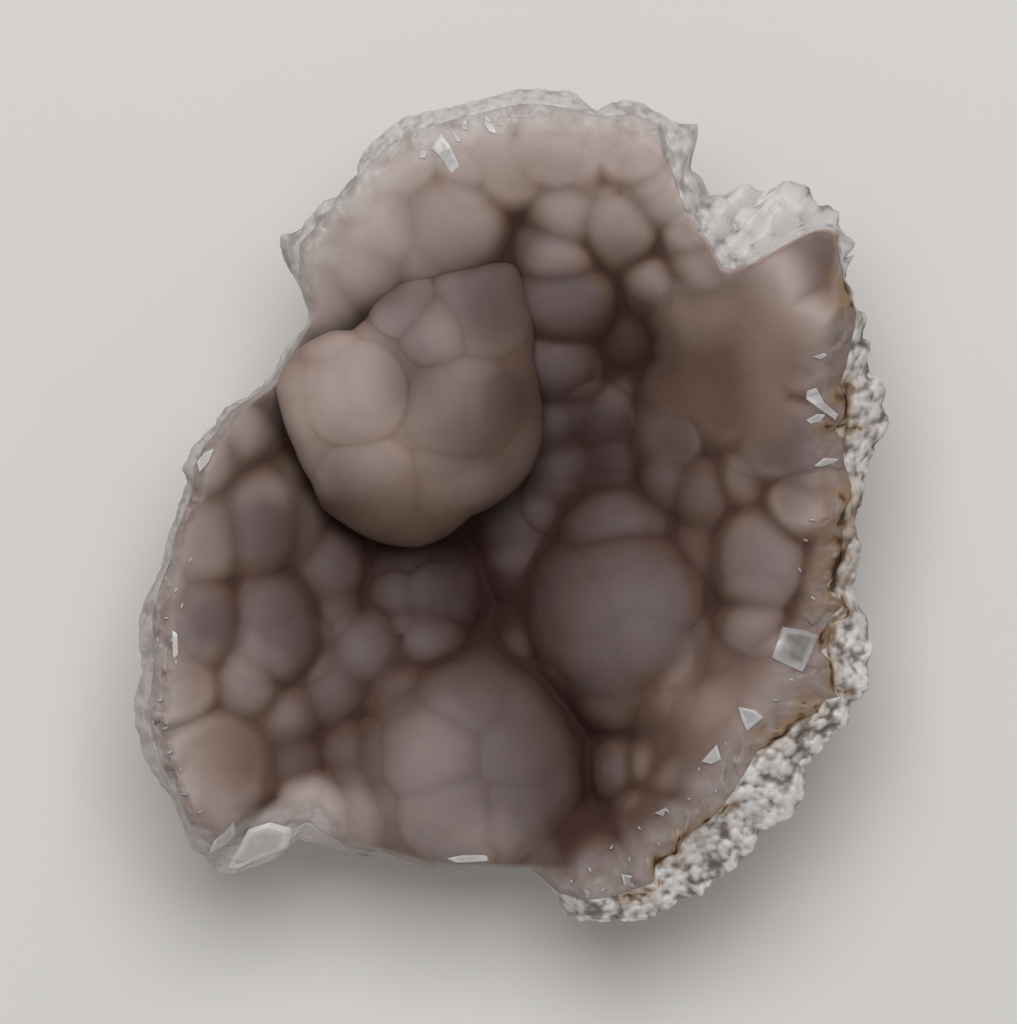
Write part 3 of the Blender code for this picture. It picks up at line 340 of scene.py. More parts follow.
# The big white nodules where the break leaves the rind showing: x, y, reach, rise
NODULES = [
    (30.8, 41.5, 2.3, 2.2), (36.8, 41.2, 2.6, 2.6), (34.9, 39.9, 1.9, 1.8), (42.1, 38.5, 1.5, 1.5),
    (44.6, 34.0, 1.3, 1.2), (28.1, 39.3, 2.0, 1.8), (27.4, 37.0, 1.9, 1.7), (32.0, 37.7, 2.4, 2.2),
    (36.2, 37.5, 2.4, 2.2), (40.1, 37.7, 1.9, 1.8), (25.6, 35.1, 1.7, 1.5), (29.9, 34.6, 2.0, 1.7),
    (33.6, 34.8, 1.9, 1.6), (24.4, 42.8, 1.6, 1.5), (29.5, 40.0, 1.6, 1.5), (33.4, 41.2, 1.6, 1.5),
    (39.4, 40.1, 1.7, 1.6), (38.1, 35.6, 1.7, 1.4), (27.7, 32.7, 1.6, 1.3), (31.5, 33.0, 1.6, 1.2),
    (35.4, 35.4, 1.6, 1.3), (25.4, 32.5, 1.6, 1.2), (42.3, 36.4, 1.2, 1), (23.5, 40.7, 1.6, 1.2),
    (43.4, 35.4, 1.2, 1), (23.5, 37.7, 1.6, 1.1), (40.2, 35.4, 1.3, 1),
    # low bumps along the top and the left
    (-21.3, 47.0, 2.6, 0.6), (-16.9, 49.9, 2.9, 0.6), (-12.0, 52.1, 2.9, 0.6),
    (-7.5, 53.1, 2.9, 0.6), (-2.5, 53.6, 2.9, 0.6), (2.3, 54.2, 2.6, 0.6), (7.1, 53.1, 2.6, 0.5),
    (11.3, 51.8, 2.4, 0.5), (16.1, 51.0, 2.4, 0.5), (20.1, 51.5, 2.1, 0.6), (22.2, 49.7, 1.9, 0.7),
    (23.0, 47.3, 1.9, 0.6), (-24.2, 43.0, 2.6, 0.5), (-27.4, 38.8, 2.6, 0.5),
    (-28.9, 34.8, 2.4, 0.6), (-27.9, 30.7, 1.9, 0.5), (-45.6, -1.7, 2.1, 0.5),
    (-47.0, -6.5, 2.1, 0.5), (-48.0, -11.8, 2.4, 0.5), (-48.3, -17.1, 2.4, 0.5),
    (-47.7, -22.4, 2.4, 0.5), (-46.7, -27.4, 2.1, 0.5), (-45.1, -32.7, 2.1, 0.5),
    (-42.5, -38.8, 2.1, 0.5),
]

# The overhanging lobe seen from above, from its right end clockwise: x, y
LOBE_EDGE = [
    (4.3, 12.2), (4.0, 8.9), (2.7, 5.2), (1.0, 2.9), (-1.7, 0.7), (-5.6, -1.2), (-9.6, -4.4),
    (-12.9, -5.4), (-17.5, -4.8), (-22.2, -2.5), (-25.5, -0.1), (-26.8, 3.3), (-29.2, 8.2),
    (-30.8, 12.6), (-31.5, 15.8), (-30.3, 18.9), (-28.1, 21.3), (-26.0, 22.5), (-24.2, 23.4),
    (-21.3, 23.4), (-19.4, 25.0), (-18.1, 27.4), (-16.0, 29.4), (-13.6, 30.7), (-9.6, 31.4),
    (-5.6, 31.9), (-1.9, 32.7), (0.7, 32.5), (2.1, 28.3), (2.7, 19.9), (3.8, 14.8),
]

# The lobe's own sheet, lumps and caps, in the same columns as the hollow's
LOBE_HEIGHTS = [
    (-11.5, 14.0, 41), (-21.5, 14.0, 39), (-29.5, 14.0, 35), (-28.0, 9.0, 33.5), (-21.0, 1.5, 34),
    (-13.0, -3.5, 31.5), (-4.5, 2.5, 33.5), (2.5, 9.0, 31), (1.0, 17.0, 33.5), (0.5, 27.5, 36),
    (-5.5, 29.5, 40), (-15.0, 28.5, 40.5), (-24.0, 23.0, 38), (-9.5, 23.5, 41), (-17.0, 21.5, 39.5),
]

LOBE_LUMPS = [
    (-9.5, 14.0, 22.5, 0.8), (-21.5, 14.0, 17.0, 0.6), (-12.5, 1.0, 17.0, 0.6),
]

LOBE_CAPS = [
    (-6.0, 12.5, 8.5, 1.04), (-21.0, 15.0, 7.5, 0.96), (-10.0, 23.5, 5.5, 0.96),
    (-14.5, 27.0, 5.0, 0.88), (-4.0, 26.5, 7.5, 0.8), (-24.0, 21.0, 4.0, 0.64),
    (-19.0, 1.5, 8.0, 0.72), (-6.5, 2.0, 8.5, 0.72), (-13.0, -3.5, 6.0, 0.4), (1.5, 7.5, 5.0, 0.4),
    (2.0, 16.5, 5.5, 0.32), (-30.5, 13.5, 6.0, 0.32),
]

# Where the white rind's band on the break is sugary crust and not clear quartz: angle, share
CRUST = [
    (0, 1.0), (38, 1.0), (42, 0.7), (60, 0.6), (65, 0.5), (85, 0.4), (120, 0.5), (150, 0.55),
    (180, 0.45), (210, 0.35), (232, 0.1), (240, 0.0), (271, 0.0), (277, 0.8), (285, 1.0), (345, 1.0),
]

# Cracks along the seam that iron has stained: width, and the x, y that each runs through
SEAM_LINES = [
    (0.66, [(44.0, 0.9), (43.6, -2.9), (43.4, -6.6), (42.6, -10.5)]),
    (0.26, [(42.6, -11.1), (43.9, -11.8), (44.4, -13.2), (44.4, -14.6), (43.2, -15.2),
            (42.1, -15.4), (41.4, -17.1), (40.7, -18.9)]),
    (0.21, [(41.7, -18.0), (42.1, -20.3), (42.6, -21.9), (42.5, -23.4), (42.8, -24.4),
            (44.8, -24.5)]),
    (0.21, [(42.8, -24.4), (41.3, -25.0), (40.3, -26.6), (40.7, -27.3)]),
    (0.32, [(38.7, -25.7), (38.5, -27.8), (37.8, -28.5), (36.6, -29.4), (35.3, -29.8),
            (34.4, -30.7), (33.4, -31.9)]),
    (0.26, [(28.7, -39.6), (27.1, -40.8), (25.8, -41.5), (24.8, -42.8), (23.2, -43.7),
            (22.1, -44.1), (21.7, -46.2), (20.5, -46.5), (19.1, -47.3), (19.0, -48.7)]),
    (0.19, [(14.8, -52.3), (17.9, -51.7)]),
    (0.42, [(44.2, 29.3), (44.6, 26.9)]),
    (0.32, [(44.0, 16.2), (44.3, 12.6), (44.4, 10.2)]),
    (0.24, [(41.3, 11.0), (46.0, 10.3)]),
]

# Patches that iron has stained: x, y, reach, strength
STAINS = [
    (43.1, 35.5, 0.9, 0.9), (43.4, 14.8, 1.9, 0.8), (44.4, 13.5, 1.3, 0.8), (43.2, -3.0, 1.6, 0.5),
    (42.8, -7.7, 1.6, 0.6), (33.4, -30.1, 1.6, 0.5), (31.9, -32.3, 1.2, 0.4),
    (19.8, -50.1, 0.8, 0.7), (24.8, -42.3, 1.3, 0.4), (38.1, -27.7, 1.2, 0.5),
    (42.8, -24.2, 0.9, 0.6), (44.0, 21.5, 0.8, 0.4),
]

# How pale and glassy the break is between the hollow and the seam: angle, share
PALENESS = [
    (0, 0.15), (20, 0.1), (38, 0.2), (46, 0.9), (62, 0.9), (90, 0.9), (112, 0.92), (128, 0.9),
    (150, 0.55), (165, 0.3), (185, 0.3), (205, 0.35), (222, 0.45), (235, 0.8), (246, 0.35), (275, 0.3),
    (290, 0.4), (312, 0.35), (330, 0.2), (345, 0.15),
]

# How deep the break's chips are: angle, share
CHIPPING = [
    (0, 0.6), (30, 0.5), (50, 0.4), (70, 0.4), (110, 0.5), (140, 0.9), (180, 1.2), (220, 1.0),
    (245, 0.4), (275, 0.3), (300, 0.7), (330, 0.8),
]

# The outlines of glassy splinters left on the break, seen from above: x, y
SPLINTERS = [
    [(35.8, -15.9), (38.7, -16.3), (40.7, -17.1), (38.5, -21.9), (34.4, -20.0)],
    [(27.1, -31.5), (27.7, -33.5), (26.4, -34.2), (25.1, -33.8)],
    [(29.9, -26.5), (32.1, -26.9), (33.3, -27.9), (31.1, -29.7), (30.3, -27.9)],
    [(39.0, 15.4), (40.3, 15.8), (41.3, 13.8), (43.2, 12.3), (42.8, 11.5), (40.9, 12.8),
     (38.9, 14.3)],
    [(38.9, 11.5), (40.3, 12.3), (41.5, 12.3), (40.9, 11.3), (39.5, 11.0)],
    [(39.8, 19.9), (41.3, 20.4), (41.7, 20.0), (40.6, 19.5)],
    [(39.9, 5.4), (41.3, 6.5), (43.5, 6.4), (42.5, 5.8), (40.9, 5.3)],
    [(-37.0, -41.7), (-36.9, -43.6), (-38.2, -45.0), (-40.5, -46.2), (-39.7, -44.4),
     (-38.2, -43.2)],
    [(-38.2, -48.2), (-36.6, -45.6), (-35.2, -42.9), (-32.3, -42.0), (-29.3, -42.9), (-30.0, -45.6),
     (-32.3, -46.5), (-34.6, -47.3), (-36.6, -48.3)],
    [(-8.8, -46.8), (-6.8, -46.4), (-3.5, -46.4), (-3.1, -47.2), (-7.6, -47.4)],
    [(14.5, -49.0), (16.8, -49.4), (16.0, -50.1), (16.4, -50.9), (14.9, -50.5)],
    [(9.3, -50.7), (10.4, -51.3), (10.0, -52.2)],
    [(-9.5, 49.4), (-8.4, 48.1), (-6.8, 44.9), (-8.1, 43.8), (-9.1, 45.6), (-10.7, 47.4)],
    [(-45.1, -16.3), (-44.4, -16.8), (-44.3, -19.6), (-45.0, -20.3)],
    [(-41.9, 6.0), (-40.9, 7.3), (-39.5, 7.8), (-40.3, 6.0), (-41.5, 4.6)],
    [(18.9, -40.8), (20.6, -39.9), (20.1, -41.2)],
    [(-12.1, 47.2), (-11.3, 46.9), (-11.5, 46.0), (-12.3, 46.1)],
    [(-8.1, 49.8), (-7.4, 49.3), (-6.7, 48.1), (-7.5, 48.3)],
    [(-6.6, 51.1), (-6.0, 50.9), (-6.0, 49.7), (-6.7, 49.9)],
    [(-3.6, 51.8), (-3.0, 51.3), (-1.9, 49.1), (-3.1, 49.5), (-3.8, 50.6)],
    [(-0.6, 53.0), (0.1, 52.7), (0.3, 51.3), (-0.5, 51.7)],
    [(-9.6, 48.3), (-8.8, 47.8), (-8.9, 47.0)],
]

# Tiny splinters that sparkle on the break: x, y
SPARKS = [
    (-45.9, -14.7), (-45.2, -17.6), (-44.6, -20.5), (-46.7, -25.6), (-46.0, -29.3), (-45.4, -32.5),
    (-47.7, -28.5), (-44.0, -34.8), (-43.5, -38.0), (-44.6, -11.0), (-43.8, -13.1), (-42.7, -7.0),
    (-47.7, -20.3), (-47.0, -17.6), (-41.4, -40.4), (-43.2, 5.2), (-41.9, 7.3), (-44.3, 0.9),
    (30.4, -27.7), (27.0, -37.7), (23.5, -38.8), (20.6, -40.4), (16.9, -42.8), (13.2, -45.4),
    (10.3, -48.3), (7.9, -49.9), (19.5, -44.9), (24.8, -34.8), (28.3, -31.4), (38.9, -20.3),
    (37.0, -22.9), (34.9, -25.6), (39.9, -12.1), (38.1, -8.3), (38.9, -4.4), (39.7, -1.7),
    (15.6, -47.0), (12.1, -51.0), (-7.0, 48.6), (-8.5, 50.2), (-10.7, 47.3), (-5.6, 47.0),
    (-11.6, 44.9), (-12.5, 47.3), (1.0, 51.5), (-1.7, 50.5),
]


def ring_of(points, middle=(0, 0)):
    """The closed line through these points as a radius for each angle about the middle."""
    x, y = (np.array(points) - middle).T
    angle = np.arctan2(y, x) % (2 * np.pi)
    order = np.argsort(angle)
    return angle[order], np.hypot(x, y)[order]


def ring_by_degrees(rows):
    """The rows of angle in degrees and value as such a ring."""
    degrees, values = np.array(rows, float).T
    return np.radians(degrees), values


def around(angle, ring, soften=0.0):
    """The ring's value at each angle, averaged over that many degrees to either side."""
    turns = np.radians(soften) * np.linspace(-1, 1, 7 if soften else 1)
    values = [np.interp(angle + turn, *ring, period=2 * np.pi) for turn in turns]
    return np.mean(values, axis=0)


def at(angle, radius, height):
    """Points at this angle, distance from the upright axis, and height."""
    return np.stack([radius * np.cos(angle), radius * np.sin(angle), height], axis=-1)


def ramp(value, low, high):
    """0 up to low, 1 from high on, and a smooth 3t^2 - 2t^3 between."""
    t = np.clip((value - low) / (high - low), 0, 1)
    return t * t * (3 - 2 * t)


def waves(points, length, seed):
    """A soft random field from -1 to 1: the mean of seven sines of about this wavelength, each along
    its own random direction and with its own start."""
    random = np.random.default_rng(seed)
    ways = random.normal(size=(7, 3))
    ways /= np.linalg.norm(ways, axis=1, keepdims=True)
    turns = 2 * np.pi / (length * random.uniform(0.7, 1.4, 7))
    starts = random.uniform(0, 2 * np.pi, 7)
    return np.sin(points @ (ways.T * turns) + starts).sum(axis=-1) / 3


def cells(points, size, seed):
    """The two nearest of the seeds, which stand one in each cube of this size: the squared distance to
    each, in sizes, and the nearest one's place and its own random numbers."""
    jitter = np.random.default_rng(seed).random((16, 16, 16, 3))
    cube = np.floor(points / size).astype(int)
    first = np.full(points.shape[:-1], np.inf)
    second = first.copy()
    place = np.zeros_like(points)
    draw = np.zeros_like(points)
    for step in np.ndindex(3, 3, 3):
        cell = cube + np.array(step) - 1
        own = jitter[tuple(np.moveaxis(cell % 16, -1, 0))]
        seeds = (cell + own) * size
        distance = ((points - seeds) ** 2).sum(axis=-1) / size**2
        nearer = distance < first
        second = np.where(nearer, first, np.minimum(second, distance))
        place[nearer] = seeds[nearer]
        draw[nearer] = own[nearer]
        first = np.where(nearer, distance, first)
    return first, second, place, draw


def facets(points, size, seed):
    """Shell-shaped chips, about 1 from lowest to highest: in each cell of this size the surface is its
    own plane, tilted a random way, and scooped out by a quarter of the squared distance, in sizes,
    from the cell's seed."""
    first, _, place, draw = cells(points, size, seed)
    across = (points - place)[..., :2] / size
    return (across * (draw[..., :2] - 0.5) * 2).sum(axis=-1) + 0.25 * (first - 0.5)


def smooth_sheet(points):
    """A thin-plate spline: height = a + b x + c y + the sum of w d^2 log d over the points, where d is
    the distance to a point. The weights w come from the points' own heights, eased by SHEET_EASE."""
    rows = np.array(points, float)
    places, heights = rows[:, :2], rows[:, 2]

    def bend(x, y):
        squares = (x[..., None] - places[:, 0]) ** 2 + (y[..., None] - places[:, 1]) ** 2
        return 0.5 * squares * np.log(np.maximum(squares, 1e-9))

    count = len(rows)
    plane = np.column_stack([np.ones(count), places])
    system = np.zeros((count + 3, count + 3))
    system[:count, :count] = bend(*places.T) + SHEET_EASE * np.eye(count)
    system[:count, count:] = plane
    system[count:, :count] = plane.T
    weights = np.linalg.solve(system, np.append(heights, np.zeros(3)))
    constant, slope_x, slope_y = weights[count:]

    def height(x, y):
        return bend(x, y) @ weights[:count] + constant + slope_x * x + slope_y * y

    return height


def fall_of_ball(distance, radius):
    """How far a ball's surface lies below its top at this distance. Where it gets steeper than
    STEEPEST it goes on as a cone."""
    slope = np.tan(np.radians(STEEPEST))
    turn = radius * np.sin(np.radians(STEEPEST))
    ball = radius - np.sqrt(radius**2 - np.minimum(distance, turn) ** 2)
    return ball + np.maximum(distance - turn, 0) * slope


def smooth_share(x, y):
    """1 inside a smooth patch's inner half, falling to 0 at its reach."""
    rows = np.array(SMOOTH)
    distance = np.hypot(x[..., None] - rows[:, 0], y[..., None] - rows[:, 1]) / rows[:, 2]
    return (1 - ramp(distance, 0.45, 1.0)).max(axis=-1)


def patches_at(x, y, patches):
    """The sum of the patches here, each its own value in the middle and falling to 0 at its reach."""
    rows = np.array(patches, float)
    distance = np.hypot(x[..., None] - rows[:, 0], y[..., None] - rows[:, 1]) / rows[:, 2]
    return ((1 - ramp(distance, 0.1, 1.0)) * rows[:, 3]).sum(axis=-1)


def ball_layers(x, y, lumps, sheet):
    """The height of each lump here: balls that touch the sheet from below, along its normals, over a
    ground that lies GROUND_DROP below the sheet, less in the smooth patches, deeper in the gullies."""
    rows = np.array(lumps, float)
    step = 0.2
    crown_x, crown_y, radii, rises = rows.T
    slope_x = (sheet(crown_x + step, crown_y) - sheet(crown_x - step, crown_y)) / (2 * step)
    slope_y = (sheet(crown_x, crown_y + step) - sheet(crown_x, crown_y - step)) / (2 * step)
    normals = np.stack([-slope_x, -slope_y, np.ones_like(slope_x)], axis=-1)
    normals /= np.linalg.norm(normals, axis=-1, keepdims=True)
    crowns = np.stack([crown_x, crown_y, sheet(crown_x, crown_y)], axis=-1)
    centres = crowns + normals * (rises - radii)[:, None]
    if sheet is SHEET:
        drop = GROUND_DROP * (1 - smooth_share(x, y)) + patches_at(x, y, GULLIES)
    else:
        drop = LOBE_GROUND_DROP
    layers = [sheet(x, y) - drop]
    for centre, radius in zip(centres, radii):
        distance = np.hypot(x - centre[0], y - centre[1])
        layers.append(centre[2] + radius - fall_of_ball(distance, radius))
    return np.array(layers)


def lumpy(x, y, lumps, sheet):
    """The highest ball, by a soft maximum: CREASE times the log of the sum of e^(height / CREASE),
    lowered so that one ball alone comes as far below its own height as a crease comes above."""
    layers = ball_layers(x, y, lumps, sheet)
    top = layers.max(axis=0)
    return top + CREASE * np.log(np.exp((layers - top) / CREASE).sum(axis=0) / np.sqrt(2))


def creases(x, y):
    """How dark the hollow's creases are painted, as shade: CREASE_SHADE between two lumps, falling off
    as e^-d, where d is how many millimetres the highest ball stands above the next, and GROUND_SHADE on
    open ground, falling off as e^-2d, where d is how far the highest ball stands above that."""
    layers = ball_layers(x, y, LUMPS, SHEET)
    open_ground = np.exp(-(layers.max(axis=0) - layers[0]) / 0.5) * (1 - smooth_share(x, y))
    layers = np.partition(layers, -2, axis=0)
    return np.maximum(np.exp(-(layers[-1] - layers[-2])) * CREASE_SHADE, open_ground * GROUND_SHADE)


def cap_rise(x, y, caps, power, step=0.0):
    """The rise of the highest cap here, each a dome rise (1 - d^2 / reach^2)^power. Its edge stands on
    a step of 0 to this share of its rise, by turns, so that one cap laps over the next like a shell."""
    rows = np.array(caps, float)
    squares = (x[..., None] - rows[:, 0]) ** 2 + (y[..., None] - rows[:, 1]) ** 2
    inside = np.maximum(1 - squares / rows[:, 2] ** 2, 0)
    steps = step * (np.arange(len(rows)) * STEP_SPREAD % 1)
    return (rows[:, 3] * (inside**power + steps * np.minimum(inside * 6, 1))).max(axis=-1)


SHEET = smooth_sheet(HEIGHTS)
LOBE_SHEET = smooth_sheet(LOBE_HEIGHTS)
OUTLINE_RING = ring_of(OUTLINE)
SEAM_RING = ring_of(SEAM)
INNER_RING = ring_of(INNER_EDGE)
LOBE_RING = ring_of(LOBE_EDGE, LOBE_MIDDLE)
FALL_RING = ring_by_degrees(RIM_FALL)
CRUST_RING = ring_by_degrees(CRUST)
PALE_RING = ring_by_degrees(PALENESS)
CHIP_RING = ring_by_degrees(CHIPPING)


def hollow_height(x, y):
    """The hollow's height at a place seen from above: its lumps with the caps on them."""
    return lumpy(x, y, LUMPS, SHEET) + cap_rise(x, y, CAPS, power=1, step=CAP_STEP)


def hollow(share, angle):
    """The hollow's lumpy surface: share of the way from the axis to the inner edge, and angle. Its
    rings are rounder than the edge in the middle, and follow it over the outer half."""
    round_edge = around(angle, INNER_RING, 15)
    radius = (round_edge + (around(angle, INNER_RING, 1) - round_edge) * ramp(share, 0.5, 1.0)) * share
    return at(angle, radius, hollow_height(radius * np.cos(angle), radius * np.sin(angle)))


def seam_and_outline(angle, inner):
    """The radii of the seam and of the outline, each at least RIM_LEAST outside the line before it."""
    seam = np.maximum(around(angle, SEAM_RING), inner + RIM_LEAST)
    return seam, np.maximum(around(angle, OUTLINE_RING), seam + RIM_LEAST)


def rim(share, angle):
    """The break, from the hollow's edge at share 0 over the seam at 2/3 to the outline at 1."""
    edge = hollow(1.0, angle)
    inner = np.hypot(edge[..., 0], edge[..., 1])
    seam, outer = seam_and_outline(angle, inner)
    fall = around(angle, FALL_RING, 2)
    radius = np.where(
        share < SEAM_SHARE,
        inner + (seam - inner) * share / SEAM_SHARE,
        seam + (outer - seam) * (share - SEAM_SHARE) / (1 - SEAM_SHARE),
    )
    nodules = cap_rise(radius * np.cos(angle), radius * np.sin(angle), NODULES, power=0.5)
    return at(angle, radius, edge[..., 2] - fall * share**2 + nodules * np.minimum(share * 4, 1))


def turn_of(height):
    """The turn of the superellipse, 0 at its widest level and 1 at its foot, that has this height."""
    level = np.clip(1 - (height + FOOT_SINK) / WHOLE_HEIGHT, 0, 1)
    return np.arcsin(level ** (WHOLE_POWER / 2)) * 2 / np.pi


def width_at(turn):
    """The superellipse's share of its full width at this turn."""
    return np.cos(turn * np.pi / 2) ** (2 / WHOLE_POWER)


def level_at(turn):
    """The superellipse's height at this turn."""
    return WHOLE_HEIGHT * (1 - np.sin(turn * np.pi / 2) ** (2 / WHOLE_POWER)) - FOOT_SINK


def whole_width():
    """The whole geode's radius for each angle: the outline carried out to the widest level, evened."""
    angle = np.linspace(0, 2 * np.pi, 180, endpoint=False)
    edge = rim(1.0, angle)
    radius = np.hypot(edge[:, 0], edge[:, 1]) / width_at(turn_of(edge[:, 2]))
    return angle, around(angle, (angle, radius), EVENING)


WIDTH_RING = whole_width()


def outside_base(share, angle):
    """The rind from the foot, share 0, to the outline, share 1: a superellipse in every upright
    section, with the outline's jags dying out below it."""
    edge = rim(1.0, angle)
    edge_radius = np.hypot(edge[..., 0], edge[..., 1])
    width = around(angle, WIDTH_RING)
    edge_turn = turn_of(edge[..., 2])
    turn = 1 - share * (1 - edge_turn)
    height = level_at(turn) + (edge[..., 2] - level_at(edge_turn)) * share
    below = (edge[..., 2] - height) / JAG_DEPTH
    jag = (edge_radius - width * width_at(edge_turn)) * np.exp(-(below**2))
    return at(angle, width * width_at(turn) + jag * share, height)


def normals_of(surface, share, angle):
    """The unit normal of surface(share, angle), by differences, on its upper side."""
    step = 0.01
    share = np.clip(share, 2 * step, 1 - step)
    along = surface(share + step, angle) - surface(share - step, angle)
    across = surface(share, angle + step) - surface(share, angle - step)
    normal = np.cross(along, across)
    return normal / np.maximum(np.linalg.norm(normal, axis=-1, keepdims=True), 1e-9)


def lobe_place(share, angle):
    """The place seen from above that lies this share of the way from the lobe's middle to its edge."""
    radius = around(angle, LOBE_RING, 2) * share
    return LOBE_MIDDLE[0] + radius * np.cos(angle), LOBE_MIDDLE[1] + radius * np.sin(angle)


def lobe_height(x, y):
    """The lobe's height without its lip: its lumps with the caps on them."""
    return lumpy(x, y, LOBE_LUMPS, LOBE_SHEET) + cap_rise(x, y, LOBE_CAPS, power=1, step=LOBE_CAP_STEP)


def lobe_top(share, angle):
    """The lobe's lumpy top, turning down over its lip by LOBE_LIP (1 - sqrt(1 - share^power))."""
    x, y = lobe_place(share, angle)
    lip = LOBE_LIP * (1 - np.sqrt(np.maximum(1 - share**LOBE_LIP_POWER, 0)))
    return np.stack([x, y, lobe_height(x, y) - lip], axis=-1)


def lobe_belly(share, angle):
    """The underside: an ellipse's lower half hung from the lip."""
    x, y = lobe_place(share, angle)
    lip = lobe_height(*lobe_place(1.0, angle)) - LOBE_LIP
    middle = lobe_height(*np.array([[LOBE_MIDDLE[0]], [LOBE_MIDDLE[1]]]))[0] - LOBE_LIP
    belly = LOBE_DEPTH * np.sqrt(np.maximum(1 - share**2, 0))
    return np.stack([x, y, middle + (lip - middle) * share**2 - belly], axis=-1)


def disc_grid(count):
    """A square grid laid on a disc: its shares of the radius, its angles, its faces, and its edge's
    points in order, counter-clockwise."""
    side = np.linspace(-1, 1, count + 1)
    a, b = (grid.ravel() for grid in np.meshgrid(side, side, indexing="ij"))
    safe_a, safe_b = np.where(a == 0, 1, a), np.where(b == 0, 1, b)
    angle = np.where(
        np.abs(a) >= np.abs(b),
        np.pi / 4 * b / safe_a + np.where(a < 0, np.pi, 0),
        np.pi / 2 - np.pi / 4 * a / safe_b + np.where(b < 0, np.pi, 0),
    )
    index = np.arange((count + 1) ** 2).reshape(count + 1, count + 1)
    faces = np.stack([index[:-1, :-1], index[1:, :-1], index[1:, 1:], index[:-1, 1:]], axis=-1)
    edge = np.concatenate([index[:-1, 0], index[-1, :-1], index[:0:-1, -1], index[0, :0:-1]])
    return np.maximum(np.abs(a), np.abs(b)), angle % (2 * np.pi), faces.reshape(-1, 4), edge


def ring_faces(rings):
    """Faces between rows of point numbers, each row one ring counter-clockwise seen from above. They
    face outwards where each row lies below or outside the one before."""
    after = np.roll(rings, -1, axis=1)
    return np.stack([rings[:-1], rings[1:], after[1:], after[:-1]], axis=-1).reshape(-1, 4)


def mark_sharp(mesh, rings):
    """Marks the edges along these closed rings of point numbers as sharp: the shading breaks there."""
    ends = np.empty(len(mesh.edges) * 2, dtype=np.int32)
    mesh.edges.foreach_get("vertices", ends)
    ends = np.sort(ends.reshape(-1, 2), axis=1)
    pairs = np.concatenate([np.stack([ring, np.roll(ring, -1)], axis=1) for ring in rings])
    pairs = np.sort(pairs, axis=1)
    edge_keys, sharp_keys = (pair.astype(np.int64) @ (len(mesh.vertices), 1) for pair in (ends, pairs))
    sharp = np.isin(edge_keys, sharp_keys)
    mesh.attributes.new("sharp_edge", "BOOLEAN", "EDGE").data.foreach_set("value", sharp)


def make_piece(name, points, faces, marks, material, smooth=True, sharp=()):
    """Puts points in millimetres, faces and named values for each point into a new mesh object. The
    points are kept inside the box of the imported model."""
    low, high = (np.array(corner) / MM for corner in CAD_BOX)
    mesh = bpy.data.meshes.new(name)
    mesh.from_pydata((np.clip(points, low, high) * MM).tolist(), [], faces)
    for mark, values in marks.items():
        mesh.attributes.new(mark, "FLOAT", "POINT").data.foreach_set("value", values.astype(np.float32))
    if smooth:
        mesh.shade_smooth()
    if len(sharp):
        mark_sharp(mesh, sharp)
    mesh.materials.append(material)
    mesh.update()
    piece = bpy.data.objects.new(name, mesh)
    bpy.context.scene.collection.objects.link(piece)
    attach(piece, "root")
    return piece


def two_sheets(share, faces):
    """Which points of a disc grid lie inside its edge, and the faces of two such grids sewn along that
    edge. The lower grid has the inside points alone, numbered after all points of the upper one."""
    inside = share < 1 - 1e-9
    below = np.arange(len(share))
    below[inside] = len(share) + np.arange(inside.sum())
    return inside, np.concatenate([faces, below[faces][:, ::-1]])


def small_caps(points, size, seed):
    """The low relief that covers every lump: domes 1 - d^2 that meet in creases, on cells of this size
    bent by soft waves, and a value that is 1 in their creases."""
    bends = [waves(points, size * 2.4, seed + n) for n in range(3)]
    first, second, _, _ = cells(points + np.stack(bends, axis=-1) * size * 0.22, size, seed)
    domes = 1 - first + 0.2 * np.log1p(np.exp((first - second) / 0.2))
    return domes, np.exp(-(np.sqrt(second) - np.sqrt(first)) / 0.2)


def bulge_at(height, x, y, reach):
    """How far the surface height(x, y) stands above its own mean on a circle of this reach."""
    turns = np.linspace(0, 2 * np.pi, 10, endpoint=False)
    circle = [height(x + reach * np.cos(turn), y + reach * np.sin(turn)) for turn in turns]
    return height(x, y) - np.mean(circle, axis=0)


def tints_of(normal, points, bulge, small_bulge):
    """Three shares for the colours, which paint light and shade: how warm, 0 on bulging crowns, painted
    as lit, and 1 in hollows and on steep flanks, painted as shaded, how far up from DEEP_LEVEL to
    MIDDLE_LEVEL, and how far on from there to HIGH_LEVEL, darker the deeper as painted shade. A crease
    is painted as dark as stone that lies deeper, as shade, and a small crown as pale as stone that lies
    higher, as a highlight."""
    x, y, height = points.T
    steep = np.maximum(1 - ramp(np.abs(normal[:, 2]), 0.6, 1.0), 0.6 * ramp(-small_bulge, 0.08, 0.4))
    warm = 0.5 * steep + 0.8 * (1 - ramp(bulge, -1.0, 0.8)) - 0.12 + patches_at(x, y, WARMTH)
    warm = np.clip(warm, 0, 1)
    height = height + patches_at(x, y, TINTS) + waves(points, 12.0, seed=15)
    height += CREASE_TINT * np.clip(small_bulge, -0.5, 0.3)
    low = np.clip((height - DEEP_LEVEL) / (MIDDLE_LEVEL - DEEP_LEVEL), 0, 1)
    high = np.clip((height - MIDDLE_LEVEL) / (HIGH_LEVEL - MIDDLE_LEVEL), 0, 1)
    return warm, low, high


def lining_top(share, angle):
    """Hollow and break as one sheet: the hollow up to its edge, then the break up to the seam."""
    hollow_share = HOLLOW_RINGS / (LINING_CELLS / 2)
    outward = np.clip((share - hollow_share) / (1 - hollow_share), 0, 1)
    inward = np.clip(share / hollow_share, 0, 1)
    on_break = (share > hollow_share + 1e-6)[..., None]
    return np.where(on_break, rim(outward * SEAM_SHARE, angle), hollow(inward, angle)), outward


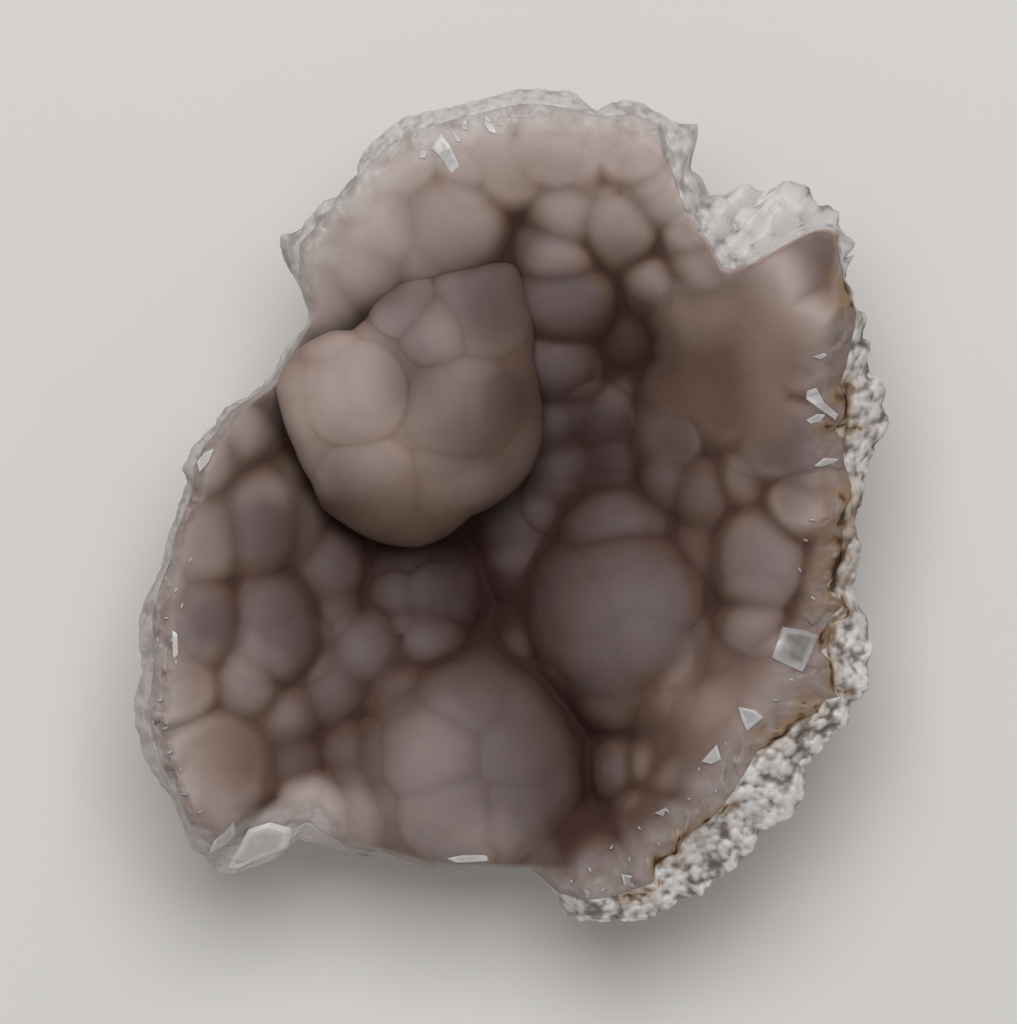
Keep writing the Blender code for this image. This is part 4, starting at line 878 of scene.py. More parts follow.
def wall(share, angle, inset, seam_point):
    """The hidden face between lining and rind: from the seam, share 1, down to the foot, share 0, this
    far inside the rind's outside."""
    base = outside_base(share * 0.95, angle)
    point = base + normals_of(outside_base, share * 0.95, angle) * inset
    point[..., 2] = np.maximum(point[..., 2], inset)
    top = ramp(share, 0.8, 1.0)[..., None]
    return point * (1 - top) + seam_point * top


def shrunk(points, gap):
    """The points moved this far towards the upright axis."""
    radius = np.hypot(points[..., 0], points[..., 1])
    return points * np.stack([1 - gap / radius, 1 - gap / radius, np.ones_like(radius)], axis=-1)


def stain_at(points):
    """How strongly iron has stained the stone, 0 to 1: cracks that are darkest along their middle, and
    patches that fade outwards, both broken up by soft waves."""
    wander = np.stack([waves(points, 2.2, seed) for seed in (41, 42)], axis=-1)
    place = points[..., :2] + 0.35 * wander
    stain = np.zeros(points.shape[:-1])
    for width, line in SEAM_LINES:
        corners = np.array(line)
        for start, end in zip(corners[:-1], corners[1:]):
            along = np.clip(((place - start) @ (end - start)) / ((end - start) ** 2).sum(), 0, 1)
            distance = np.linalg.norm(place - start - along[..., None] * (end - start), axis=-1)
            stain = np.maximum(stain, np.exp(-((distance / (1.3 * width)) ** 2)))
            stain = np.maximum(stain, 0.55 * np.exp(-distance / (5 * width)))
    for x, y, reach, strength in STAINS:
        distance = np.hypot(place[..., 0] - x, place[..., 1] - y) / reach
        stain = np.maximum(stain, strength * (1 - ramp(distance, 0.2, 1.1)))
    return stain * ramp(waves(points, 3.0, seed=44), -1.6, 0.3)


def lining_marks(top, normal, place, angle, in_hollow, cap_crease):
    """What the material reads at each point of the lining's top, seen from above at this place: its
    tints, which paint light and shade, how dark a crease it lies in, as painted shade, how far it looks
    like the break, which in the hollow near the outline is a painted glow, how stained it is, and how
    pale the break is there."""
    from_outline = around(angle, OUTLINE_RING, 2) - np.hypot(*place)
    # painted glow: the hollow is painted paler towards the outline, as light shining through the thin
    # wall there
    rim_glow = RIM_GLOW * (1 - ramp(from_outline, *PALE_FADE)) * around(angle, PALE_RING, 6)
    wide, lump, narrow = (bulge_at(hollow_height, *place, reach)
                          for reach in (WIDE_REACH, LUMP_REACH, CREASE_REACH))
    warm, low, high = tints_of(normal, top, wide, lump)
    # painted shade at the bottoms of creases
    sunk = np.maximum(0.75 * ramp(-lump, 0.15, 0.8), ramp(-narrow, 0.1, 0.4))
    crease = np.max([creases(*place), SUNK_SHADE * sunk, CAP_SHADE * cap_crease], axis=0)
    return {
        "warm": warm,
        "low": low,
        "high": high,
        "crease": crease * in_hollow,
        "break": np.maximum(1 - in_hollow, rim_glow),
        "stain": stain_at(top),
        "pale": around(angle, PALE_RING, 4),
    }


def build_lining(sizes, material):
    """The lining: lining_top, its edge of the hollow rounded, raised by small caps along its normals in
    the hollow and by shell-shaped chips on the break, and closed below by the hidden wall and a flat
    cap."""
    share, angle, faces, edge = disc_grid(LINING_CELLS)
    top, outward = lining_top(share, angle)
    edge_share = HOLLOW_RINGS / (LINING_CELLS / 2)
    near_edge = np.exp(-(((share - edge_share) / EASED_SHARE) ** 2)) * (1 - ramp(share, 0.96, 1.0))
    steps = np.linspace(-0.9, 0.9, 7) * EASED_SHARE
    rounded = np.mean([lining_top(np.clip(share + step, 0, 1), angle)[0] for step in steps], axis=0)
    top = top + (rounded - top) * near_edge[:, None]
    place = top[:, :2].T
    in_hollow = 1 - ramp(outward, 0.0, 0.65)
    caps, cap_crease = small_caps(top, sizes.cap_spacing / MM, seed=3)
    patches = 0.55 + 0.45 * waves(top, 30.0, seed=12)
    normal = normals_of(lambda s, a: lining_top(s, a)[0], share, angle)
    top = top + normal * (caps * patches * in_hollow * sizes.cap_rise / MM)[:, None]
    chip_size = sizes.chip_size / MM
    chip = facets(top, chip_size, seed=5) + 0.35 * facets(top, chip_size / 2.6, seed=6)
    band = np.clip(around(angle, OUTLINE_RING) - around(angle, INNER_RING, 1), 0.5, 4.0) / 4.0
    on_break = ramp(outward, 0.1, 0.7) * (1 - ramp(outward, 0.85, 1.0))
    top[:, 2] += chip * on_break * band * around(angle, CHIP_RING, 4) * sizes.chip_depth / MM
    edge_angle = angle[edge]
    seam_point = top[edge].copy()
    gap = sizes.seam_gap / MM * stain_at(seam_point)
    rings = [wall(np.full(len(edge), s), edge_angle, sizes.rind_thickness / MM + 0.3, seam_point)
             for s in np.linspace(1, WALL_FOOT, WALL_RINGS + 1)[1:]]
    top[edge] = shrunk(seam_point, gap)
    points = np.concatenate([top] + rings)
    numbers = np.vstack([edge, len(top) + np.arange(WALL_RINGS * len(edge)).reshape(WALL_RINGS, -1)])
    all_faces = np.concatenate([faces, ring_faces(numbers)]).tolist() + [numbers[-1][::-1].tolist()]
    hidden = np.zeros(len(points) - len(top))
    seen = lining_marks(top, normal, place, angle, in_hollow, cap_crease)
    marks = {name: np.append(values, hidden) for name, values in seen.items()}
    piece = make_piece("chalcedony_lining", points, all_faces, marks, material, sharp=[edge])
    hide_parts("chalcedony_geode")
    return piece


def build_lobe(sizes, material):
    """The lobe: two sheets of one disc grid, sewn along the lip, the top raised by small caps."""
    share, angle, faces, _ = disc_grid(LOBE_CELLS)
    inner, faces = two_sheets(share, faces)
    top = lobe_top(share, angle)
    caps, cap_crease = small_caps(top, sizes.cap_spacing / MM, seed=21)
    normal = normals_of(lobe_top, share, angle)
    top = top + normal * (caps * (1 - ramp(share, 0.9, 1.0)) * 0.7 * sizes.cap_rise / MM)[:, None]
    belly = lobe_belly(share, angle)[inner]
    points = np.concatenate([top, belly])
    below = np.zeros(inner.sum())
    plain = np.zeros(len(points))
    x, y = lobe_place(share, angle)
    small_bulge = bulge_at(lobe_height, x, y, LOBE_LUMP_REACH)
    warm, low, high = tints_of(normal, top, bulge_at(lobe_height, x, y, LOBE_WIDE_REACH), small_bulge)
    # painted light and shade: crowns as lit, flanks and creases as shaded, and the belly under the lobe
    # painted as a shaded flank half-way down
    marks = {
        "warm": np.append(warm, below + 1),
        "low": np.append(low, below + 0.5),
        "high": np.append(high, below),
        "crease": np.append(cap_crease * LOBE_CAP_SHADE, below),
        "break": plain,
        "stain": plain,
        "pale": plain,
    }
    return make_piece("overhanging_lobe", points, faces.tolist(), marks, material)


def crust_relief(points, sizes, fine):
    """The sugary crust: how far it stands out, in millimetres, and how deep between its grains a point
    lies, 0 to 1. Knobs, and grains where fine is 1, are each a dome 1 - d^2 on cells of their size."""
    knob = 1 - cells(points, sizes.knob_size / MM, seed=31)[0]
    grain = 0.7 + (1 - cells(points, sizes.grain_size / MM, seed=33)[0] - 0.7) * fine
    out = ((knob - 0.7) * sizes.knob_rise + (grain - 0.7) * sizes.grain_rise) / MM
    return out, 1 - ramp(0.55 * knob + 0.45 * grain, 0.45, 0.85)


def rind_band(angle, sizes):
    """The rind's band on the break, from the seam out to the outline: raised by crust_relief, or by
    chips where it is clear quartz, and jutting out along the outline. Also how far the outline's own
    knobs jut out, how deep between its grains each point lies, and how far it is crust."""
    a, s = np.meshgrid(angle, np.linspace(SEAM_SHARE, 1, BAND_RINGS + 1))
    band = rim(s, a)
    crust = around(a, CRUST_RING, 3)
    out, low = crust_relief(band, sizes, 1.0)
    chips = facets(band, sizes.chip_size / MM * 0.6, seed=32) * sizes.chip_depth / MM * 0.4
    balls = ramp(cap_rise(band[..., 0], band[..., 1], NODULES, power=0.5), 0.6, 1.3)
    out, low = out * (1 - 0.85 * balls), low * (1 - balls)
    edge_out = out[-1] * np.maximum(around(angle, CRUST_RING, 3), 0.6)
    band[..., 2] += (out * crust + chips * (1 - crust)) * ramp(s, SEAM_SHARE, SEAM_SHARE + 0.05)
    band += at(a, edge_out * ramp(s, 0.85, 1.0), np.zeros_like(s))
    return band, edge_out, low * crust, crust


def rind_skin(angle, sizes, edge_out):
    """The rind's outside, from just below the outline down to the flat foot: raised by nodules and by
    crust_relief along its normals, and jutting out as the outline does close to it. Also how deep
    between its grains each point lies."""
    a, t = np.meshgrid(angle, 1 - np.linspace(0, 1, OUTSIDE_RINGS + 1)[1:] ** 1.25 * (1 - WALL_FOOT))
    skin = outside_base(t, a)
    near_outline = np.exp(-(((1 - t) / NODULE_FADE) ** 2))
    near_edge = np.exp(-(((1 - t) / EDGE_FADE) ** 2))
    nodules = NODULE_RISE * (1 - cells(skin, NODULE_SIZE, seed=8)[0] - NODULE_LEVEL)
    nodules *= 1 - near_outline
    out, low = crust_relief(skin, sizes, near_outline)
    skin -= normals_of(outside_base, t, a) * (nodules + out * (1 - near_edge))[..., None]
    skin += at(a, edge_out * near_edge, np.zeros_like(t))
    skin[..., 2] = np.maximum(skin[..., 2], 0)
    return skin, low * (0.4 + 0.6 * near_edge)


def build_rind(sizes, material):
    """The rind, carried round as rings: the hidden wall, its band on the break and the round outside,
    closed by two flat caps near the foot."""
    angle = np.linspace(0, 2 * np.pi, RIND_TURNS, endpoint=False)
    seam_point = rim(SEAM_SHARE, angle)
    rows = [wall(np.full(RIND_TURNS, s), angle, sizes.rind_thickness / MM, seam_point)
            for s in np.linspace(WALL_FOOT, 1, WALL_RINGS + 1)[:-1]]
    band, edge_out, band_low, crust = rind_band(angle, sizes)
    skin, skin_low = rind_skin(angle, sizes, edge_out)
    points = np.concatenate([part.reshape(-1, 3) for part in (np.array(rows), band, skin)])
    numbers = np.arange(len(points)).reshape(-1, RIND_TURNS)
    faces = ring_faces(numbers).tolist() + [numbers[0].tolist(), numbers[-1][::-1].tolist()]
    hidden = np.zeros((WALL_RINGS, RIND_TURNS))
    on_band, on_skin = np.ones(band.shape[:2]), np.ones(skin.shape[:2])
    parts = {
        "grain_low": (hidden, band_low, skin_low),
        "dirt": (hidden, on_band * 0, ramp(waves(skin, 26.0, seed=35), 0.1, 0.9)),
        "stain": (hidden + 1, stain_at(band), on_skin * 0),
        "crust": (hidden, crust, on_skin),
        "pale": (hidden, on_band * around(angle, PALE_RING, 4), on_skin),
    }
    marks = {name: np.concatenate(values).ravel() for name, values in parts.items()}
    sharp = [numbers[WALL_RINGS], numbers[0], numbers[-1]]
    return make_piece("quartz_rind", points, faces, marks, material, sharp=sharp)


def fine_line(outline, count=12):
    """The closed outline with this many points along each of its straight edges."""
    corners = np.array(outline)
    edges = np.roll(corners, -1, axis=0) - corners
    shares = np.linspace(0, 1, count, endpoint=False)
    return (corners[:, None] + edges[:, None] * shares[None, :, None]).reshape(-1, 2)


def spark_outline(x, y, random):
    """Four corners of a tiny splinter 0.6 to 1 mm long, turned a random way."""
    turn, long, wide = random.uniform(0, np.pi), random.uniform(0.28, 0.5), random.uniform(0.12, 0.22)
    corners = np.array([(long, 0.05), (0.1, wide), (-long, -0.04), (-0.08, -wide)])
    along, across = np.array([np.cos(turn), np.sin(turn)]), np.array([-np.sin(turn), np.cos(turn)])
    return [tuple(corner) for corner in corners[:, :1] * along + corners[:, 1:] * across + (x, y)]


def build_splinters(sizes, material):
    """Splinters left on the break, joined in one mesh. Each is a thin plate over its outline, whose top
    is its own tilted plane, bevelled over the last fifth of the way to its edge, and whose bottom is
    sunk in the stone."""
    points, faces, milky = [], [], []
    share, angle, quads, _ = disc_grid(SPLINTER_CELLS)
    inner, quads = two_sheets(share, quads)
    random = np.random.default_rng(17)
    first = 0
    sparks = [spark_outline(x, y, random) for x, y in SPARKS]
    for number, outline in enumerate(SPLINTERS + sparks):
        middle = np.mean(outline, axis=0)
        radius = around(angle, ring_of(fine_line(outline), middle)) * share
        x, y = middle[0] + radius * np.cos(angle), middle[1] + radius * np.sin(angle)
        ground = surface_height(x, y)
        tilt = random.uniform(-0.12, 0.12, 2)
        lean = (x - middle[0]) * tilt[0] + (y - middle[1]) * tilt[1]
        bevel = np.clip((1 - share) * 5, 0, 1)
        rise = (sizes.splinter_rise / MM + lean) * bevel + 0.05
        top = np.stack([x, y, ground + np.maximum(rise, 0.05)], axis=-1)
        bottom = np.stack([x, y, ground - 0.6], axis=-1)[inner]
        points += [top, bottom]
        is_milky = middle[0] < 1 or number >= len(SPLINTERS)  # those on the left, and the tiny ones
        inside = 0.65 if is_milky else 0.4 if number else 0.0  # the first of all is the clearest
        milky += [np.clip(inside + 0.45 * ramp(share, 0.5, 0.95), 0, 1), np.zeros(len(bottom))]
        faces += (quads + first).tolist()
        first += len(top) + len(bottom)
    marks = {"milky": np.concatenate(milky)}
    return make_piece("glassy_splinters", np.concatenate(points), faces, marks, material, smooth=False)


def surface_height(x, y):
    """The height of hollow or break at a place seen from above."""
    angle = np.arctan2(y, x) % (2 * np.pi)
    radius = np.hypot(x, y)
    inner = around(angle, INNER_RING, 1)
    seam, outer = seam_and_outline(angle, inner)
    share = np.where(radius < seam, (radius - inner) / (seam - inner) * SEAM_SHARE,
                     SEAM_SHARE + (radius - seam) / (outer - seam) * (1 - SEAM_SHARE))
    on_break = rim(np.clip(share, 0, 1), angle)[..., 2]
    return np.where(radius > inner, on_break, hollow_height(x, y))


# Settings of the node that mixes two colours. Its sockets 0, 6 and 7 are the share and the colours.
COLOUR_MIX = {"data_type": "RGBA"}


def hex_colour(text):
    """An sRGB hex colour as linear red, green and blue."""
    values = np.array([int(text[n : n + 2], 16) for n in (0, 2, 4)]) / 255
    linear = np.where(values <= 0.04045, values / 12.92, ((values + 0.055) / 1.055) ** 2.4)
    return tuple(float(value) for value in linear)


def add_node(tree, kind, settings, inputs):
    """Adds one node. Settings are its options. Each input is a value or the socket that feeds it."""
    node = tree.nodes.new(kind)
    for name, value in settings.items():
        setattr(node, name, value)
    for socket, value in inputs.items():
        if isinstance(value, bpy.types.NodeSocket):
            tree.links.new(value, node.inputs[socket])
        else:
            node.inputs[socket].default_value = value
    return node


def new_material(name, settings):
    """A material with only a shader, whose sockets are set as given, and its node tree. The shader is
    what the colours and the relief go into."""
    material = bpy.data.materials.new(name)
    material.use_nodes = True
    tree = material.node_tree
    tree.nodes.clear()
    shader = add_node(tree, "ShaderNodeBsdfPrincipled", {}, settings)
    add_node(tree, "ShaderNodeOutputMaterial", {}, {0: shader.outputs[0]})
    return material, tree, shader


def stained(tree, stain, surface, colours):
    """The surface colour under the iron stain, ochre where it is thin and dark brown along cracks."""
    for low, high, most, colour in ((0.05, 0.5, 0.75, colours.ochre), (0.45, 0.9, 1.0, colours.rust)):
        share = add_node(tree, "ShaderNodeMapRange", {},
                         {"Value": stain, "From Min": low, "From Max": high, "To Max": most}).outputs[0]
        surface = add_node(tree, "ShaderNodeMix", COLOUR_MIX,
                           {0: share, 6: surface, 7: (*colour, 1)}).outputs[2]
    return surface


def chalcedony_material(colours):
    """Chalcedony, grown from silica gel in rounded lumps: waxy and cloudy, so light goes a little way
    in and comes back out warm. Level tops are painted milky and mauve as lit, and flanks warm and brown
    as painted shade. Both are painted near black maroon in the deepest pockets and in the creases, as
    painted shade, and pale towards the rim, as a painted glow. The creases lose their sheen, as painted
    shade of the reflection. The clouds are 14 mm across and the mottles 3 mm."""
    material, tree, shader = new_material("waxy chalcedony", {
        "Roughness": 0.6, "IOR": 1.54, "Subsurface Weight": 0.5,
        "Subsurface Radius": (1.0, 0.7, 0.55), "Subsurface Scale": 0.0025,
    })
    place = add_node(tree, "ShaderNodeTexCoord", {}, {}).outputs["Object"]
    marks = {name: add_node(tree, "ShaderNodeAttribute", {"attribute_name": name}, {}).outputs["Fac"]
             for name in ("warm", "low", "high", "crease", "break", "stain", "pale")}
    clouds = add_node(tree, "ShaderNodeTexNoise", {},
                      {"Vector": place, "Scale": 1 / 0.014, "Detail": 3.0})
    mottles = add_node(tree, "ShaderNodeTexNoise", {},
                       {"Vector": place, "Scale": 1 / 0.003, "Detail": 4.0})
    mottled = add_node(tree, "ShaderNodeMapRange", {},
                       {"Value": mottles.outputs[0], "From Min": 0.35, "From Max": 0.7})
    drift = add_node(tree, "ShaderNodeMath", {"operation": "MULTIPLY_ADD"},
                     {0: clouds.outputs[0], 1: 0.4, 2: -0.2}).outputs[0]
    warm = add_node(tree, "ShaderNodeMath", {"operation": "ADD", "use_clamp": True},
                    {0: marks["warm"], 1: drift}).outputs[0]
    levels = []
    # the lit level tops and the shaded steep flanks, two painted copies of the stone's colour, each
    # darker deeper down as painted shade and paler towards the rim
    for deep, middle, rim_colour in ((colours.top_deep, colours.top_middle, colours.top_rim),
                                     (colours.flank_deep, colours.flank_middle, colours.flank_rim)):
        up = add_node(tree, "ShaderNodeMix", COLOUR_MIX,
                      {0: marks["low"], 6: (*deep, 1), 7: (*middle, 1)}).outputs[2]
        levels.append(add_node(tree, "ShaderNodeMix", COLOUR_MIX,
                               {0: marks["high"], 6: up, 7: (*rim_colour, 1)}).outputs[2])
    lumps = add_node(tree, "ShaderNodeMix", COLOUR_MIX,
                     {0: warm, 6: levels[0], 7: levels[1]}).outputs[2]
    # painted shade: the creases are painted towards the deep flanks' colour
    creased = add_node(tree, "ShaderNodeMix", COLOUR_MIX,
                       {0: marks["crease"], 6: lumps, 7: (*colours.flank_deep, 1)}).outputs[2]
    broken = add_node(tree, "ShaderNodeMix", COLOUR_MIX,
                      {0: marks["pale"], 6: (*colours.broken, 1), 7: (*colours.pale, 1)}).outputs[2]
    broken_mottled = add_node(tree, "ShaderNodeMix", {"data_type": "RGBA", "blend_type": "MULTIPLY"},
                              {0: mottled.outputs[0], 6: broken, 7: (*colours.shade, 1)}).outputs[2]
    surface = add_node(tree, "ShaderNodeMix", COLOUR_MIX,
                       {0: marks["break"], 6: creased, 7: broken_mottled}).outputs[2]
    rusty = stained(tree, marks["stain"], surface, colours)
    grit = add_node(tree, "ShaderNodeTexNoise", {},
                    {"Vector": place, "Scale": 1 / 0.0009, "Detail": 3.0})
    relief = add_node(tree, "ShaderNodeBump", {},
                      {"Height": grit.outputs[0], "Strength": 0.2, "Distance": 0.0003}).outputs[0]
    # painted shade of the reflection: the sheen falls to nothing in the creases
    shaded_sheen = add_node(tree, "ShaderNodeMapRange", {},
                     {"Value": marks["crease"], "From Max": 0.5, "To Min": 0.22, "To Max": 0.0})
    tree.links.new(rusty, shader.inputs["Base Color"])
    tree.links.new(relief, shader.inputs["Normal"])
    tree.links.new(shaded_sheen.outputs[0], shader.inputs["Specular IOR Level"])
    return material


def rind_material(colours):
    """Coarse white quartz, the geode's rind: sugary grains, bright on top and painted grey-brown
    between, partly as dust and partly as painted shade, and rusty along the seam and in patches on the
    outside,
    26 mm apart."""
    material, tree, shader = new_material("sugary white quartz", {
        "Roughness": 0.5, "IOR": 1.54, "Subsurface Weight": 0.2,
        "Subsurface Radius": (1.0, 0.85, 0.7), "Subsurface Scale": 0.0008,
    })
    place = add_node(tree, "ShaderNodeTexCoord", {}, {}).outputs["Object"]
    marks = {name: add_node(tree, "ShaderNodeAttribute", {"attribute_name": name}, {}).outputs["Fac"]
             for name in ("grain_low", "dirt", "stain", "crust", "pale")}
    clouds = add_node(tree, "ShaderNodeTexNoise", {},
                      {"Vector": place, "Scale": 1 / 0.006, "Detail": 4.0})
    cloudy = add_node(tree, "ShaderNodeMapRange", {},
                      {"Value": clouds.outputs[0], "From Min": 0.4, "From Max": 1.0}).outputs[0]
    white = add_node(tree, "ShaderNodeMix", COLOUR_MIX,
                     {0: cloudy, 6: (*colours.quartz, 1), 7: (*colours.quartz_grey, 1)}).outputs[2]
    clear = add_node(tree, "ShaderNodeMix", COLOUR_MIX,
                     {0: marks["pale"], 6: (*colours.broken, 1), 7: (*colours.pale, 1)}).outputs[2]
    glassy = add_node(tree, "ShaderNodeMix", COLOUR_MIX,
                      {0: marks["crust"], 6: clear, 7: white}).outputs[2]
    # painted shade between the grains, in the dust's grey-brown
    grain_shade = add_node(tree, "ShaderNodeMath", {"operation": "MULTIPLY"},
                     {0: marks["grain_low"], 1: 0.95}).outputs[0]
    low = add_node(tree, "ShaderNodeMix", COLOUR_MIX,
                   {0: grain_shade, 6: glassy, 7: (*colours.dust_and_grain_shade, 1)}).outputs[2]
    dirty = add_node(tree, "ShaderNodeMath", {"operation": "MULTIPLY"},
                     {0: marks["dirt"], 1: 0.45}).outputs[0]
    brown = add_node(tree, "ShaderNodeMix", COLOUR_MIX,
                     {0: dirty, 6: low, 7: (*colours.dust_and_grain_shade, 1)}).outputs[2]
    rusty = stained(tree, marks["stain"], brown, colours)
    grit = add_node(tree, "ShaderNodeTexNoise", {},
                    {"Vector": place, "Scale": 1 / 0.0007, "Detail": 3.0})
    relief = add_node(tree, "ShaderNodeBump", {},
                      {"Height": grit.outputs[0], "Strength": 0.5, "Distance": 0.0004}).outputs[0]
    tree.links.new(rusty, shader.inputs["Base Color"])
    tree.links.new(relief, shader.inputs["Normal"])
    return material


def splinter_material(colours):
    """Freshly split quartz: glassy, from clear over the grey stone to nearly white where it has split
    inside, with milky clouds 2 mm across."""
    material, tree, shader = new_material("freshly split quartz", {
        "Roughness": 0.35, "IOR": 1.54, "Subsurface Weight": 0.4,
        "Subsurface Radius": (1.0, 0.85, 0.75), "Subsurface Scale": 0.0015,
    })
    place = add_node(tree, "ShaderNodeTexCoord", {}, {}).outputs["Object"]
    clouds = add_node(tree, "ShaderNodeTexNoise", {},
                      {"Vector": place, "Scale": 1 / 0.002, "Detail": 3.0})
    milky = add_node(tree, "ShaderNodeAttribute", {"attribute_name": "milky"}, {}).outputs["Fac"]
    cloudy = add_node(tree, "ShaderNodeMath", {"operation": "MULTIPLY_ADD", "use_clamp": True},
                      {0: clouds.outputs[0], 1: 0.8, 2: -0.4}).outputs[0]
    share = add_node(tree, "ShaderNodeMath", {"operation": "ADD", "use_clamp": True},
                     {0: milky, 1: cloudy}).outputs[0]
    colour = add_node(tree, "ShaderNodeMix", COLOUR_MIX,
                      {0: share, 6: (*colours.splinter_clear, 1), 7: (*colours.quartz, 1)}).outputs[2]
    tree.links.new(colour, shader.inputs["Base Color"])
    return material


def board_material(colours):
    """The studio floor: pale board with a matt coat, and a faint unevenness 90 mm across."""
    material, tree, shader = new_material("matt painted board", {"Roughness": 0.75})
    place = add_node(tree, "ShaderNodeTexCoord", {}, {}).outputs["Object"]
    uneven = add_node(tree, "ShaderNodeTexNoise", {},
                      {"Vector": place, "Scale": 1 / 0.09, "Detail": 2.0})
    darker = tuple(value * 0.96 for value in colours.board)
    colour = add_node(tree, "ShaderNodeMix", COLOUR_MIX,
                      {0: uneven.outputs[0], 6: (*colours.board, 1), 7: (*darker, 1)}).outputs[2]
    tree.links.new(colour, shader.inputs["Base Color"])
    return material


def length_property(name, description, millimetres):
    """A length that the sidebar shows, with its default given in millimetres."""
    return bpy.props.FloatProperty(name=name, description=description, default=millimetres * MM,
                                   min=0.0, precision=5, unit="LENGTH")


def colour_property(name, description, text):
    """A colour that the sidebar shows, with its default given in hex."""
    return bpy.props.FloatVectorProperty(name=name, description=description, default=hex_colour(text),
                                         min=0.0, max=1.0, size=3, subtype="COLOR")


class GeodeSizes(bpy.types.PropertyGroup):
    """Sizes of the fine relief, which the solid model leaves out."""

    cap_spacing: length_property("Cap spacing", "Distance between the low caps on each lump", 7.0)
    cap_rise: length_property("Cap rise", "Height of those caps above their creases", 0.3)
    chip_size: length_property("Chip size", "Width of the shell-shaped chips on the break", 3.4)
    chip_depth: length_property("Chip depth", "Height between one chip and the next", 1.1)
    knob_size: length_property("Knob size", "Width of the knobs of grains on the rind", 2.0)
    knob_rise: length_property("Knob rise", "Height of those knobs", 1.0)
    grain_size: length_property("Grain size", "Width of the quartz grains on the knobs", 0.9)
    grain_rise: length_property("Grain rise", "Height of those grains", 0.5)
    rind_thickness: length_property("Rind thickness", "Thickness of the rind below the break", 2.5)
    seam_gap: length_property("Seam gap", "Widest gap between lining and rind", 0.12)
    splinter_rise: length_property("Splinter rise", "Height of the glassy splinters on the break", 0.22)


class GeodeColours(bpy.types.PropertyGroup):
    """Colours of the stone and of the floor."""

    # The six lump colours are lit and shaded copies of one stone: level tops as lit and milky, steep
    # flanks and creases in painted shade, each painted darker deeper down and paler towards the rim
    top_deep: colour_property("Deep tops", "Level tops in the deepest pockets", "4C3E3D")
    top_middle: colour_property("Middle tops", "Level tops half-way up", "6E6060")
    top_rim: colour_property("High tops", "Level tops close to the rim", "B6A6A0")
    flank_deep: colour_property("Deep flanks", "Flanks and creases in the deepest pockets", "432E2A")
    flank_middle: colour_property("Middle flanks", "Warm flanks half-way up", "6B564A")
    flank_rim: colour_property("High flanks", "Warm flanks close to the rim", "B49E90")
    broken: colour_property("Break", "Freshly broken chalcedony", "847570")
    pale: colour_property("Pale break", "The palest, most glassy part of the break", "C6BFBC")
    shade: colour_property("Break mottles", "What the mottles multiply the break by", "D9CFCB")
    splinter_clear: colour_property("Clear splinters", "Splinters that show the stone below", "767270")
    ochre: colour_property("Ochre", "Thin iron stain round the cracks", "8A6B45")
    rust: colour_property("Rust", "Thick iron stain in the cracks", "3A2618")
    quartz: colour_property("Quartz", "White quartz grains", "D2CFCE")
    quartz_grey: colour_property("Grey quartz", "Greyer quartz grains", "A9A5A3")
    # painted shade between the rind's grains, and the colour of the dust patches on its outside
    dust_and_grain_shade: colour_property("Dust", "Grey-brown dust between the grains", "5E5148")
    board: colour_property("Board", "Studio floor", "D9D7D4")


class GeodeStudio(bpy.types.PropertyGroup):
    """Where the camera and the lights stand."""

    camera_distance: length_property("Camera distance", "From the lens to the aim height", 1500)
    aim_height: length_property("Aim height", "Level that the picture's scale holds for", 42)
    box_size: length_property("Softbox size", "Side of the square softbox", 620)
    box_height: length_property("Softbox height", "Height of the softbox above the floor", 1100)
    box_forward: length_property("Softbox offset", "How far it stands towards the picture's top", 360)
    box_power: bpy.props.FloatProperty(name="Softbox power", description="Light from the softbox",
                                       default=9.0, min=0.0, unit="POWER")
    room_light: bpy.props.FloatProperty(name="Room light", description="Even light from all round",
                                        default=0.35, min=0.0)


class GEODE_OT_lining(bpy.types.Operator):
    """Add the grey-brown lining, with the hollow and the inner part of the break"""

    bl_idname = "geode.lining"
    bl_label = "Chalcedony lining"

    def execute(self, context):
        scene = context.scene
        build_lining(scene.geode_sizes, stone_material("waxy chalcedony", chalcedony_material, scene))
        return {"FINISHED"}


class GEODE_OT_lobe(bpy.types.Operator):
    """Add the heavy lobe that overhangs the hollow"""

    bl_idname = "geode.lobe"
    bl_label = "Overhanging lobe"

    def execute(self, context):
        scene = context.scene
        build_lobe(scene.geode_sizes, stone_material("waxy chalcedony", chalcedony_material, scene))
        return {"FINISHED"}


class GEODE_OT_rind(bpy.types.Operator):
    """Add the white quartz rind"""

    bl_idname = "geode.rind"
    bl_label = "Quartz rind"

    def execute(self, context):
        scene = context.scene
        build_rind(scene.geode_sizes, stone_material("sugary white quartz", rind_material, scene))
        return {"FINISHED"}


class GEODE_OT_splinters(bpy.types.Operator):
    """Add the glassy splinters left on the break"""

    bl_idname = "geode.splinters"
    bl_label = "Glassy splinters"

    def execute(self, context):
        scene = context.scene
        material = stone_material("freshly split quartz", splinter_material, scene)
        build_splinters(scene.geode_sizes, material)
        return {"FINISHED"}


class GEODE_OT_studio(bpy.types.Operator):
    """Add the floor, the soft light and the camera that looks straight down"""

    bl_idname = "geode.studio"
    bl_label = "Studio"

    def execute(self, context):
        scene = context.scene
        build_floor(stone_material("matt painted board", board_material, scene))
        build_lights(scene, scene.geode_studio)
        build_camera(scene, scene.geode_studio)
        return {"FINISHED"}


